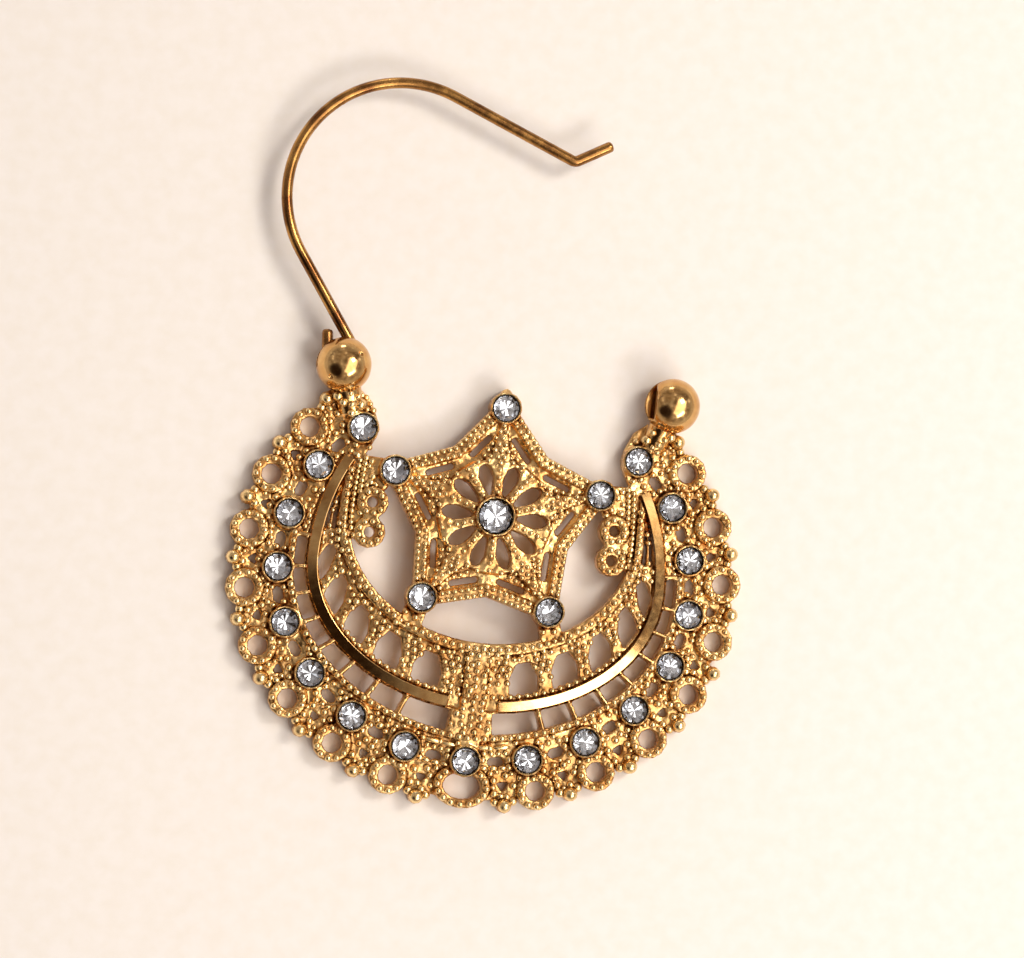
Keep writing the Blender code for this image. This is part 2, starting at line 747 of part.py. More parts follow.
def make_filigree_hoop(frame, gold):
    hoop = add_object("filigree_hoop", plate_mesh(), frame, finish=gold)
    for name, side in (("hinge_ball", -1.0), ("catch_ball", 1.0)):
        boolean(hoop, neck_tool(name + "_neck", side, frame), "UNION")
        boolean(hoop, ball_tool(name, side, frame), "UNION")
    boolean(hoop, hinge_slot_tool(frame), "DIFFERENCE")
    boolean(hoop, catch_slot_tool(frame), "DIFFERENCE")
    boolean(hoop, catch_trim_tool(frame), "DIFFERENCE")


def wire_route():
    """The wire's middle line, from the stub over the eye and the arch to the tail."""
    arch = Vector((ARCH_CENTRE_X, ARCH_CENTRE_Y))
    arch_bearing = math.degrees(math.atan2(arch.y, arch.x))
    lean = arch_bearing - math.degrees(math.acos((WIRE_EYE_RADIUS + ARCH_RADIUS) / arch.length))
    eye_start = polar(WIRE_EYE_RADIUS, WIRE_STUB_DEG)
    stub = eye_start - polar(WIRE_STUB_LENGTH, WIRE_STUB_DEG + 90.0)
    route = [stub, stub.lerp(eye_start, 0.5)]
    route += [polar(WIRE_EYE_RADIUS, a) for a in spread(WIRE_STUB_DEG, 360.0 + lean, 14)]
    leg_start, leg_end = polar(WIRE_EYE_RADIUS, lean), arch - polar(ARCH_RADIUS, lean)
    route += [leg_start.lerp(leg_end, i / 6.0) for i in range(1, 6)]
    route += [arch + polar(ARCH_RADIUS, a) for a in spread(180.0 + lean, 90.0 + FALL_DEG, 28)]
    bend = route[-1] + polar(FALL_LENGTH, FALL_DEG)
    half_turn = math.radians(TAIL_DEG - FALL_DEG) / 2.0
    setback = TAIL_BEND_RADIUS * math.tan(half_turn)
    bend_start = bend - polar(setback, FALL_DEG)
    bend_centre = bend_start + polar(TAIL_BEND_RADIUS, FALL_DEG + 90.0)
    route += [route[-1].lerp(bend_start, i / 6.0) for i in range(1, 6)]
    turns = spread(FALL_DEG - 90.0, TAIL_DEG - 90.0, 4)
    route += [bend_centre + polar(TAIL_BEND_RADIUS, a) for a in turns]
    route += [bend + polar(setback + (TAIL_LENGTH - setback) * i / 3.0, TAIL_DEG) for i in range(1, 4)]
    return route


def make_ear_wire(frame, bronze):
    """The bent wire, with its origin on the axis of the hinge post."""
    curve = bpy.data.curves.new("ear_wire", "CURVE")
    curve.dimensions = "3D"
    curve.bevel_depth = WIRE_RADIUS * MM
    curve.bevel_resolution = 2
    curve.render_resolution_u = 0
    curve.use_fill_caps = True
    route = wire_route()
    spline = curve.splines.new("POLY")
    spline.points.add(len(route) - 1)
    for point, place in zip(spline.points, route):
        point.co = (place.x * MM, place.y * MM, 0.0, 1.0)
    add_object("ear_wire", curve, frame, (-BALL_X, BALL_Y, BALL_RADIUS), bronze)


def stone_mesh(radius):
    """A round stone: flat culet, pavilion, girdle, crown of small facets and a flat table."""
    heights = [0.0, 0.55, 0.66, 1.0]
    widths = [0.3, 1.0, 1.0, 0.58]
    turns = [0.0, 0.0, 0.0, 0.5]

    def build(shape):
        rings = []
        for level, width, turn in zip(heights, widths, turns):
            angles = [math.tau * (i + turn) / STONE_FACETS for i in range(STONE_FACETS)]
            rings.append(
                [
                    shape.verts.new((radius * width * math.cos(a), radius * width * math.sin(a), STONE_HEIGHT * level))
                    for a in angles
                ]
            )
        shape.faces.new(rings[0][::-1])
        shape.faces.new(rings[-1])
        for low, high in zip(rings[:2], rings[1:3]):
            for i in range(STONE_FACETS):
                j = (i + 1) % STONE_FACETS
                shape.faces.new((low[i], low[j], high[j], high[i]))
        girdle, table = rings[2], rings[3]
        for i in range(STONE_FACETS):
            j = (i + 1) % STONE_FACETS
            shape.faces.new((girdle[i], girdle[j], table[i]))
            shape.faces.new((girdle[j], table[j], table[i]))

    return mesh_from("cut_stone", build)


def make_stones(frame, glass):
    for cup in CUPS:
        base = dome(cup.x, cup.y) + PLATE_THICKNESS - SEAT_DEPTH + STONE_GAP
        add_object(cup.name, stone_mesh(cup.stone_radius), frame, (cup.x, cup.y, base), glass)


def make_frame():
    """The empty that brings the middle of the outline over the world origin."""
    route_top = max(point.y for point in wire_route()) + BALL_Y + WIRE_RADIUS
    bottom_ball = row_point(widened(STONE_ROW, EDGE_BALL_OFFSET), EDGE_STATIONS[LOOPS_EACH_SIDE + 1]).y
    outline_low = min(bottom_ball - EDGE_BALL_RADIUS, BOTTOM_LOOP_Y - BOTTOM_LOOP_HALF_HEIGHT)
    frame = bpy.data.objects.new("earring_frame", None)
    bpy.context.scene.collection.objects.link(frame)
    frame.location = (0.0, -(route_top + outline_low) / 2.0 * MM, 0.0)
    return frame


def main():
    for item in list(bpy.data.objects):
        bpy.data.objects.remove(item)
    gold = material("gilt_cast_brass", (0.79, 0.5, 0.16), 1.0, 0.28)
    bronze = material("drawn_brass_wire", (0.55, 0.36, 0.13), 1.0, 0.3)
    glass = material("clear_glass", (0.9, 0.92, 0.94), 0.0, 0.05, transmission=0.8)
    frame = make_frame()
    make_filigree_hoop(frame, gold)
    make_ear_wire(frame, bronze)
    make_stones(frame, glass)


main()
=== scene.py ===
"""Looks of a hoop earring: cast and gilt filigree, granules, cut stones and a bronze-toned ear wire.

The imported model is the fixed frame. The layout is drawn in millimetres from the star's centre, with X
to the right, Y towards the ear wire and Z out of the face. Each finished mesh is then brought to
metres and to the place of the star in the frame.
"""

import functools
import itertools
import math
import random
from collections import namedtuple

import bmesh
import bpy
from bpy.props import FloatProperty, FloatVectorProperty, IntProperty, PointerProperty
from mathutils import Matrix, Vector, noise
from mathutils.bvhtree import BVHTree


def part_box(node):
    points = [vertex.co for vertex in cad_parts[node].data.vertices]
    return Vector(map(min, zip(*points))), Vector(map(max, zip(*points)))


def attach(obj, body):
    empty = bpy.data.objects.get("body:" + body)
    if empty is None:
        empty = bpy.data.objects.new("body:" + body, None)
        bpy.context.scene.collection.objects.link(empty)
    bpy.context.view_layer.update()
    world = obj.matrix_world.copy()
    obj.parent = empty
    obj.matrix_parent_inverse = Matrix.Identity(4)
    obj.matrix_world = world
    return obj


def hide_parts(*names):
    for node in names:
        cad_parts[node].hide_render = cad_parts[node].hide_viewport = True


bl_info = {
    "name": "Filigree Hoop Earring",
    "version": (1, 0, 0),
    "blender": (4, 5, 0),
    "location": "3D View > Sidebar > Earring",
    "description": "Dresses the packed hoop earring with granules, stones, polished metal and a stage",
    "category": "Object",
}

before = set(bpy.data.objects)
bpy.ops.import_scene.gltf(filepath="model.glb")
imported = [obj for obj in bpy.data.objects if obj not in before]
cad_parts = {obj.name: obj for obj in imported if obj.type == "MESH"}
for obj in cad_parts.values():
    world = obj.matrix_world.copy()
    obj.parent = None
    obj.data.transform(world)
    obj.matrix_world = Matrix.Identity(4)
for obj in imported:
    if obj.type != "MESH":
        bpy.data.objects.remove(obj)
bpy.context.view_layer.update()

MM = 0.001


def star_place():
    """Brings the layout's millimetres to metres at the star's place in the frame."""
    low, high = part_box("centre_stone")
    middle = (low + high) / 2.0
    return Matrix.Translation((middle.x, middle.y, 0.0)) @ Matrix.Scale(MM, 4)


PLACE = star_place()


def linear(code):
    """The linear colour of an sRGB hex value."""
    parts = [int(code[i : i + 2], 16) / 255.0 for i in (1, 3, 5)]
    return tuple(c / 12.92 if c <= 0.04045 else ((c + 0.055) / 1.055) ** 2.4 for c in parts)


def length_setting(name, description, millimetres):
    return FloatProperty(
        name=name,
        description=description,
        default=millimetres * MM,
        min=0.0,
        precision=6,
        unit="LENGTH",
    )


def colour_setting(name, description, code):
    return FloatVectorProperty(
        name=name,
        description=description,
        default=linear(code),
        size=3,
        min=0.0,
        max=1.0,
        subtype="COLOR",
    )


class EarringSizes(bpy.types.PropertyGroup):
    """Sizes of the small work that is laid on the cast plate."""

    granule: length_setting("Granule", "Radius of the common granules", 0.25)
    fine_granule: length_setting("Fine granule", "Radius of the granules on the star", 0.2)
    edge_ball: length_setting("Edge ball", "Radius of the balls between the outer loops", 0.49)
    cast_grain: length_setting("Cast grain", "Cell size of the plate's cast surface", 0.1)
    ball_grain: length_setting("Ball grain", "Cell size of the two polished balls", 0.05)
    band_lean: FloatProperty(
        name="Band lean",
        description="How far the polished band's face leans outwards",
        default=math.radians(20.0),
        subtype="ANGLE",
    )
    scatter_seed: IntProperty(
        name="Scatter seed", description="Seed of the loose granules between the stones", default=7
    )


class EarringColours(bpy.types.PropertyGroup):
    """Colours of the metals, the stones and the paper."""

    rubbed_gilt: colour_setting("Rubbed gilt", "Gilding rubbed bright on the granules", "#FFE1A6")
    gilt: colour_setting("Gilt", "Plain gilding", "#EBC384")
    worn_gilt: colour_setting("Worn gilt", "Thin gilding over brass", "#C38A4C")
    painted_recess_shade: colour_setting("Recess", "Browned metal in the hollows", "#875C38")
    # Colour of the painted shade that ambient occlusion lays in the hollows of the cast metal
    wire: colour_setting("Wire", "Bright side of the ear wire", "#C08E50")
    wire_brown: colour_setting("Wire brown", "Browned stretches of the ear wire", "#744A2A")
    foil: colour_setting("Foil", "Silver foil behind the stones", "#EEF0F4")
    paper: colour_setting("Paper", "The pale paper", "#F4EDE8")


# The layout, as the frame has it: ellipses that the rows follow, with the reach below and above
Row = namedtuple("Row", "centre_y half_width drop climb")
Granule = namedtuple("Granule", "x y radius length turn", defaults=(1.0, 0.0))

STONE_ROW = Row(-4.5, 15.0, 13.1, 13.1)
BAND_ROW = Row(-4.2, 12.6, 9.4, 14.0)
INNER_ROW = Row(-1.0, 10.7, 8.5, 20.0)
CLUSTER_ROW = Row(-2.5, 10.95, 8.4, 8.4)

PLATE_THICKNESS = 0.9
DOME_RISE = 1.5
DOME_HALF_WIDTH = 15.9
DOME_DROP = 14.35
CAST_LUMPS = [(2.2, 0.06), (5.2, 0.05)]
PLATE_TRIANGLES = 185000

STONES_EACH_SIDE = 8
STONE_PITCH_DEG = 17.24
STONE_SEAT_DEPTH = 0.35
BEZEL_WALL = 0.1
BEZEL_RISE = 0.76
BEZEL_CLEARANCE = 0.05
BEZEL_EDGE = 0.055
BEZEL_SUNK = 0.08

LOOP_OFFSET = 2.35
LOOPS_EACH_SIDE = 8
LOOP_FIRST_DEG = 18.0
LOOP_PITCH_DEG = 15.6
LOOP_BEAD_RING = 1.1
LOOP_BEADS = 11
BOTTOM_LOOP_RAISED = 0.55
BOTTOM_BEAD_RING = 1.78
BOTTOM_BEAD_RING_TALL = 1.3
BOTTOM_BEADS = 16
EDGE_BALL_OFFSET = 3.15
CORNER_GAP_OFFSET = 1.75
CORNER_RING = 0.8
EDGE_PAIR = (0.66, 0.3)
SURROUND_GAP = 0.52
GAP_COLUMNS = ((-0.95, 0.95), (-0.75, -0.2, 0.35))
GAP_CORNERS = ((-0.4, 0.4), (-0.85, 0.8))
INNER_PITCH = 0.58
ROSETTES_EACH_SIDE = 6
ROSETTE_FIRST_DEG = 9.5
ROSETTE_PITCH_DEG = 15.6
# Radius, number and size as a share of the common granule of each ring round a rosette's middle
ROSETTE_RINGS = [(0.55, 6, 0.95), (1.1, 10, 0.9)]
TIP_BALL_RADIUS = 0.44
LARGE_GRANULE = 0.3
LOOSE_TRIES = 9000
UNEVEN_SEED = 11
UNEVENNESS = 0.06
GRANULE_LIFT = 0.35
LARGE_LIFT = 0.1

BAND_WIDTH = 0.75
BAND_START_DEG = 8.5
BAND_END_DEG = 121.0
BAND_CREST = 0.56
BAND_BED = 0.15
LADDER_INNER_OFFSET = 0.5
LADDER_BOTTOM_WIDTH = 1.6
LADDER_SIDE_WIDTH = 0.75
LADDER_WIDE_DEG = 21.3
LADDER_PITCH_DEG = 10.6
LADDER_SQUARES = 7
RAIL_OFFSET = 0.24
RAIL_PITCH = 0.62
RIB_COLUMN = 0.68
RIB_PITCH = 0.57
RIB_FROM_STONE = 1.5
# Offset from the stones' row, length as a share of the width, and pitch of the bars beside the lowest stone
BARS = [(-1.05, 3.2, 1.25), (-0.62, 1.0, 0.52), (0.42, 1.6, 0.7)]
BARS_START_DEG = 5.2
BARS_END_DEG = 12.5
STRUT_RISE = 0.3
STRUT_SECTION = (0.3, 0.4)

STAR_TIP_RADIUS = 8.85
STAR_NOTCH_RADIUS = 5.8
STAR_REACH = 8.0
STAR_TIPS = [90.0 + 72.0 * i for i in range(5)]
SPOKES = 10
SPOKE_START = 1.75
SPOKE_END = 3.9
SPOKE_PITCH = 0.5
PETAL_PAIR_AT = 4.08
PETAL_PAIR_DEG = 5.5
STAR_INSETS = (0.2, 0.7)
STAR_PITCH = 0.47
TIP_ROWS_FROM = 4.3
TIP_ROW_PITCH = 0.46
TIP_PITCH = 0.48

RINGLET_X = 8.8
RINGLET_PITCH = 2.15
RINGLET_BEAD_RING = 0.78
RINGLET_BEADS = 9
ARM_TOP = 2.9
ARM_BOTTOM = -2.8
ARM_ROWS = 14
ARM_PITCH = 0.42

BALL_X = 12.0
BALL_Y = 9.5
BALL_RADIUS = 2.0
HORN_FOOT = (11.05, 6.32, 1.0)
# Place beside and above the highest stone, and size as a share of the common granule
HORN_BEADS = [
    (3.15, 1.3, 1.5),
    (1.44, 1.68, 1.5),
    (0.4, 1.6, 1.5),
    (2.35, 1.5, 1.2),
    (1.9, 0.85, 1.2),
    (3.0, 0.5, 1.1),
]
SLOT_THICKNESS = 1.0
HINGE_POCKET_RADIUS = 1.75
HINGE_SLOT_BELOW = 0.4
POST_RADIUS = 0.7
POST_LENGTH = 1.6
NECK_RADII = (1.05, 0.9)
CATCH_SLOT_BELOW = 1.1
CATCH_TRIM_AT = 1.35
# What lies this near the ball's surface is brought onto it, a hair inside the frame's ball
BALL_SKIN = 0.045
BALL_FIT = 0.9995
DIMPLE_RADIUS = 0.2
BALL_DIMPLES = {-1: [(-0.474, -0.549, 0.688), (0.5, 0.4, 0.77)], 1: [(-0.72, 0.22, 0.66)]}

WIRE_RADIUS = 0.4
WIRE_EYE_RADIUS = 1.2
WIRE_STUB_LENGTH = 2.5
WIRE_STUB_DEG = 186.0
ARCH_CENTRE = (2.8, 12.4)
ARCH_RADIUS = 8.3
FALL_DEG = -21.0
FALL_LENGTH = 9.8
TAIL_BEND_RADIUS = 0.6
TAIL_DEG = 31.0
TAIL_LENGTH = 3.0
WIRE_SIDES = 20
WIRE_LIP = [(0.0, 0.55), (0.06, 0.82), (0.16, 0.97)]


def widened(row, by):
    """The row moved outwards."""
    return Row(row.centre_y, row.half_width + by, row.drop + by, row.climb + by)


def row_point(row, from_bottom):
    """The point of a row that lies this many degrees from its lowest point, positive to the right."""
    angle = math.radians(from_bottom - 90.0)
    reach = row.drop if math.sin(angle) < 0.0 else row.climb
    return Vector((row.half_width * math.cos(angle), row.centre_y + reach * math.sin(angle)))


def row_axes(row, from_bottom):
    """A point of a row with the directions along the row and outwards."""
    step = 0.5
    point = row_point(row, from_bottom)
    along = (row_point(row, from_bottom + step) - row_point(row, from_bottom - step)).normalized()
    return point, along, Vector((along.y, -along.x))


def row_x(row, y):
    """Half the row's width at a height."""
    rise = y - row.centre_y
    reach = row.climb if rise > 0.0 else row.drop
    return row.half_width * math.sqrt(max(0.0, 1.0 - (rise / reach) ** 2))


def polar(radius, angle):
    return Vector((radius * math.cos(math.radians(angle)), radius * math.sin(math.radians(angle))))


def spread(start, end, steps):
    return [start + (end - start) * i / steps for i in range(steps + 1)]


def stations(first, pitch, count):
    """Degrees from the bottom, on both sides."""
    right = [first + pitch * i for i in range(count)]
    return [-a for a in right] + right


LOOP_ROW = widened(STONE_ROW, LOOP_OFFSET)
LOOP_STATIONS = stations(LOOP_FIRST_DEG, LOOP_PITCH_DEG, LOOPS_EACH_SIDE)
EDGE_STATIONS = stations(LOOP_FIRST_DEG - LOOP_PITCH_DEG / 2.0, LOOP_PITCH_DEG, LOOPS_EACH_SIDE + 1)
BOTTOM_LOOP_Y = row_point(LOOP_ROW, 0.0).y + BOTTOM_LOOP_RAISED


def ladder_width(from_bottom):
    """The ladder narrows from the bottom of the crescent to its sides."""
    share = min(1.0, abs(from_bottom) / 90.0)
    return LADDER_BOTTOM_WIDTH + (LADDER_SIDE_WIDTH - LADDER_BOTTOM_WIDTH) * share


def dome(x, y):
    """How far the plate's back stands off the table."""
    share = (x / DOME_HALF_WIDTH) ** 2 + ((y - STONE_ROW.centre_y) / DOME_DROP) ** 2
    return DOME_RISE * max(0.0, 1.0 - share)


@functools.cache
def hoop_surface():
    """The frame's hoop in the layout's millimetres, to stand granules on."""
    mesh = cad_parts["filigree_hoop"].data
    back = PLACE.inverted()
    points = [back @ v.co for v in mesh.vertices]
    return BVHTree.FromPolygons(points, [tuple(p.vertices) for p in mesh.polygons])


def face_height(x, y):
    """The height of the hoop's face, or None over a gap."""
    hit = hoop_surface().ray_cast(Vector((x, y, 10.0)), Vector((0.0, 0.0, -1.0)))[0]
    return hit.z if hit else None


@functools.cache
def stones():
    """Name, middle, foot height and girdle radius of every stone, read from the frame."""
    found = []
    back = PLACE.inverted()
    for name in sorted(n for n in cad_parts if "stone" in n):
        low, high = (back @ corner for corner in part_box(name))
        found.append((name, (low.x + high.x) / 2.0, (low.y + high.y) / 2.0, low.z, (high.x - low.x) / 2.0))
    return found


# Where the granules lie
def ring_of(middle, radius, count, size, turn=0.0, tall=None):
    """Granules on a circle, or on an oval where it has its own height."""
    tall = radius if tall is None else tall
    angles = [math.radians(turn) + math.tau * i / count for i in range(count)]
    return [Granule(middle[0] + radius * math.cos(a), middle[1] + tall * math.sin(a), size) for a in angles]


def line_of(start, end, pitch, size, length=1.0):
    """Evenly spaced granules on a straight line."""
    start, end = Vector(start), Vector(end)
    count = max(1, round((end - start).length / pitch))
    turn = math.atan2(end.y - start.y, end.x - start.x)
    return [Granule(*start.lerp(end, i / count), size, length, turn) for i in range(count + 1)]


def path_of(points, pitch, size, length=1.0):
    """Evenly spaced granules along a path of close points."""
    found, left = [], 0.0
    for p, q in zip(points, points[1:]):
        span = (q - p).length
        turn = math.atan2(q.y - p.y, q.x - p.x)
        while left <= span:
            found.append(Granule(*p.lerp(q, left / span), size, length, turn))
            left += pitch
        left -= span
    return found


def row_granules(row, start, end, pitch, size, length=1.0):
    steps = max(8, int(abs(end - start) * 2))
    return path_of([row_point(row, a) for a in spread(start, end, steps)], pitch, size, length)


def mirrored(granules):
    return granules + [g._replace(x=-g.x, turn=math.pi - g.turn) for g in granules]


def star_outline(inset):
    """The star's ten corners, with its edges moved inwards."""
    tip, notch = polar(STAR_TIP_RADIUS, 90.0), polar(STAR_NOTCH_RADIUS, 54.0)
    edge = (notch - tip).normalized()
    line = tip + Vector((edge.y, -edge.x)) * inset
    tip_y = line.y - edge.y * line.x / edge.x
    reach = line.cross(edge) / polar(1.0, 54.0).cross(edge)
    return [polar(tip_y if i % 2 == 0 else reach, 90.0 + 36.0 * i) for i in range(10)]


def loop_granules(size):
    found = []
    for a in LOOP_STATIONS:
        found += ring_of(row_point(LOOP_ROW, a), LOOP_BEAD_RING, LOOP_BEADS, size, turn=a)
    bottom = (0.0, BOTTOM_LOOP_Y)
    return found + ring_of(bottom, BOTTOM_BEAD_RING, BOTTOM_BEADS, 1.1 * size, tall=BOTTOM_BEAD_RING_TALL)


def edge_granules(ball, size):
    """The balls between the loops, each with a cluster of granules behind it."""
    found = []
    for a in EDGE_STATIONS:
        at = row_point(widened(STONE_ROW, EDGE_BALL_OFFSET), a)
        found.append(Granule(*at, ball))
        _, along, outwards = row_axes(STONE_ROW, a)
        for side in (-1, 1):
            found.append(Granule(*(at + along * EDGE_PAIR[0] * side - outwards * EDGE_PAIR[1]), 1.35 * size))
        middle = row_point(widened(STONE_ROW, CORNER_GAP_OFFSET), a)
        found += ring_of(middle, CORNER_RING, 5, 1.15 * size, turn=a)
    return found


def stone_surround_granules(size):
    """Granules round each stone and in short columns beside the gaps between stones."""
    found = []
    for i in range(-STONES_EACH_SIDE, STONES_EACH_SIDE):
        middle, along, outwards = row_axes(STONE_ROW, STONE_PITCH_DEG * (i + 0.5))
        turn = math.atan2(outwards.y, outwards.x)
        for u, v in itertools.product(*GAP_COLUMNS):
            found.append(Granule(*(middle + along * u + outwards * v), size, 1.15, turn))
        for u, v in itertools.product(*GAP_CORNERS):
            found.append(Granule(*(middle + along * u + outwards * v), size))
    for _, x, y, _, girdle in stones():
        if y < STONE_ROW.centre_y or abs(x) > RINGLET_X:
            found += ring_of((x, y), girdle + SURROUND_GAP, 11, size)
    return found


def rail_granules(size):
    """The rail outside the ladder, the rib at the bottom and the bars beside the lowest stone."""
    steps = spread(-100.0, 100.0, 200)
    offsets = [LADDER_INNER_OFFSET + ladder_width(a) + RAIL_OFFSET for a in steps]
    rail = [row_point(widened(BAND_ROW, offset), a) for offset, a in zip(offsets, steps)]
    found = path_of(rail, RAIL_PITCH, 1.05 * size)
    low, high = row_point(STONE_ROW, 0.0).y + RIB_FROM_STONE, row_point(INNER_ROW, 0.0).y - 0.5
    for x in (-RIB_COLUMN, 0.0, RIB_COLUMN):
        found += line_of((x, low), (x, high), RIB_PITCH, size)
    for side in (-1, 1):
        for offset, length, pitch in BARS:
            row = widened(STONE_ROW, offset)
            found += row_granules(row, side * BARS_START_DEG, side * BARS_END_DEG, pitch, 0.9 * size, length)
    return found


def inner_granules(size):
    """The beaded inner edge, the rosettes behind it and the row along the band."""
    found = row_granules(INNER_ROW, -99.0, 99.0, INNER_PITCH, size)
    for a in stations(ROSETTE_FIRST_DEG, ROSETTE_PITCH_DEG, ROSETTES_EACH_SIDE):
        middle = row_point(CLUSTER_ROW, a)
        found.append(Granule(*middle, 1.15 * size))
        for radius, count, share in ROSETTE_RINGS:
            found += ring_of(middle, radius, count, share * size, turn=a)
    return found + row_granules(widened(BAND_ROW, -0.68), -118.0, 118.0, RAIL_PITCH, 0.9 * size)


def star_granules(size):
    """The double beaded edge, the ten spokes and the filled points of the star."""
    found = []
    for inset in STAR_INSETS:
        corners = star_outline(inset)
        for p, q in zip(corners, corners[1:] + corners[:1]):
            found += line_of(p, q, STAR_PITCH, size)
    for i in range(SPOKES):
        angle = 90.0 + 360.0 / SPOKES * i
        found += line_of(polar(SPOKE_START, angle), polar(SPOKE_END, angle), SPOKE_PITCH, size)
        for side in (-1, 1):
            bearing = angle + 180.0 / SPOKES + side * PETAL_PAIR_DEG
            found.append(Granule(*polar(PETAL_PAIR_AT, bearing), size))
    for angle in STAR_TIPS:
        out = polar(1.0, angle)
        across = Vector((-out.y, out.x))
        for row, count in enumerate((6, 5, 4, 3, 2, 1)):
            for i in range(count):
                aside = across * TIP_PITCH * (i - (count - 1) / 2.0)
                at = out * (TIP_ROWS_FROM + TIP_ROW_PITCH * row) + aside
                found.append(Granule(*at, size))
    return found + [Granule(*polar(STAR_TIP_RADIUS, 90.0), TIP_BALL_RADIUS)]


def bracket_granules(size):
    """The ringlets beside the star and the granulated arms above them."""
    found = []
    for i in range(2):
        found += ring_of((RINGLET_X, -RINGLET_PITCH * i), RINGLET_BEAD_RING, RINGLET_BEADS, size, turn=20.0)
    for y in spread(ARM_TOP, ARM_BOTTOM, ARM_ROWS):
        for step in range(4):
            x = row_x(INNER_ROW, y) - 0.5 - ARM_PITCH * step
            if x > RINGLET_X + 1.0 - 0.12 * step * y:
                found.append(Granule(x, y + 0.2 * (step % 2), 0.95 * size))
    return mirrored(found)


def horn_granules(size):
    """The larger beads at the foot of each ball, with smaller ones beside them."""
    top = row_point(STONE_ROW, STONE_PITCH_DEG * STONES_EACH_SIDE)
    return mirrored([Granule(top.x + u, top.y + v, share * size) for u, v, share in HORN_BEADS])


def band_offset(x, y):
    """How far a point lies outside the band's middle line, and its degrees from the bottom."""
    reach = BAND_ROW.drop if y < BAND_ROW.centre_y else BAND_ROW.climb
    angle = math.degrees(math.atan2(x / BAND_ROW.half_width, -(y - BAND_ROW.centre_y) / reach))
    point, _, outwards = row_axes(BAND_ROW, angle)
    return (Vector((x, y)) - point).dot(outwards), angle


def on_smooth_metal(g):
    """Whether a granule would stand on the polished band or on a ball."""
    offset, angle = band_offset(g.x, g.y)
    beside_band = abs(offset) < BAND_WIDTH / 2.0 + 0.6 * g.radius
    on_band = beside_band and BAND_START_DEG - 1.0 < abs(angle) < BAND_END_DEG
    return on_band or math.hypot(abs(g.x) - BALL_X, g.y - BALL_Y) < BALL_RADIUS + 0.3 * g.radius


def stand_height(g):
    """The height of the face under a granule. Large ones may stand half over a gap."""
    face = face_height(g.x, g.y)
    if face is None and g.radius > LARGE_GRANULE:
        face = dome(g.x, g.y) + PLATE_THICKNESS
    return face


def spaced(granules, laid):
    """The granules that stand on metal, clear of the stones, the band and those already laid."""
    kept = []
    cells = {}
    for g in laid:
        cells.setdefault((round(g.x), round(g.y)), []).append(g)
    for g in granules:
        around = itertools.product((-1, 0, 1), repeat=2)
        near = [o for i, j in around for o in cells.get((round(g.x) + i, round(g.y) + j), ())]
        crowded = any(math.hypot(g.x - o.x, g.y - o.y) < 0.8 * (g.radius + o.radius) for o in near)
        on_stone = any(
            math.hypot(g.x - x, g.y - y) < girdle + BEZEL_CLEARANCE + BEZEL_WALL + 0.7 * g.radius
            for _, x, y, _, girdle in stones()
        )
        if crowded or on_stone or on_smooth_metal(g):
            continue
        if stand_height(g) is not None:
            kept.append(g)
            cells.setdefault((round(g.x), round(g.y)), []).append(g)
    return kept


def between_rows(x, y):
    """Whether a point lies on the crescent, and not on the polished band."""
    angle = math.degrees(math.atan2(x / BAND_ROW.half_width, -(y - BAND_ROW.centre_y) / BAND_ROW.drop))
    inside = abs(x) < min(STAR_REACH, row_x(INNER_ROW, y))
    from_band = abs((Vector((x, y)) - row_point(BAND_ROW, angle)).length)
    return not inside and from_band > BAND_WIDTH / 2.0 + 0.25


def loose_granules(size, seed, laid):
    """Granules scattered over what is left of the crescent's face."""
    draw = random.Random(seed)
    found = []
    for _ in range(LOOSE_TRIES):
        x, y = draw.uniform(-18.5, 18.5), draw.uniform(-21.5, 9.0)
        radius = size * draw.uniform(0.7, 1.15)
        reach = 0.8 * radius
        around = [(x + reach, y), (x - reach, y), (x, y + reach), (x, y - reach)]
        if not between_rows(x, y) or any(face_height(*p) is None for p in around):
            continue
        found.append(Granule(x, y, radius, draw.uniform(1.0, 1.3), draw.uniform(0.0, math.pi)))
    return spaced(found, laid)


@functools.cache
def granule_groups(granule, fine, ball, seed):
    """Every group of granules by name. Each keeps clear of those before it."""
    lists = [
        ("loops", loop_granules(granule)),
        ("edge", edge_granules(ball, granule)),
        ("horns", horn_granules(granule)),
        ("inner", inner_granules(granule)),
        ("rail", rail_granules(granule)),
        ("brackets", bracket_granules(granule)),
        ("star", star_granules(fine)),
        ("surrounds", stone_surround_granules(granule)),
    ]
    groups, laid = {}, []
    for name, granules in lists:
        groups[name] = spaced(granules, laid)
        laid += groups[name]
    groups["loose"] = loose_granules(granule, seed, laid)
    return groups


# Making and finishing pieces
def feed(tree, node, inputs):
    """Gives each input a value or another node's output."""
    for name, value in inputs.items():
        if isinstance(value, bpy.types.NodeSocket):
            tree.links.new(value, node.inputs[name])
        else:
            node.inputs[name].default_value = value
    return node


def add_node(tree, kind, inputs=None, **settings):
    """Adds a node with its settings and inputs."""
    made = tree.nodes.new(kind)
    for name, value in settings.items():
        setattr(made, name, value)
    return feed(tree, made, inputs or {})


def add_piece(name, mesh):
    item = bpy.data.objects.new(name, mesh)
    bpy.context.scene.collection.objects.link(item)
    return item


def build_piece(name, build):
    """A piece whose mesh a function fills in the layout's millimetres."""
    shape = bmesh.new()
    build(shape)
    mesh = bpy.data.meshes.new(name)
    shape.to_mesh(mesh)
    shape.free()
    return add_piece(name, mesh)


def loft(shape, rings):
    """A closed solid through rings of corners."""
    for ring, following in zip(rings, rings[1:]):
        for i in range(len(ring)):
            j = (i + 1) % len(ring)
            shape.faces.new((ring[i], ring[j], following[j], following[i]))
    shape.faces.new(rings[0][::-1])
    shape.faces.new(rings[-1])


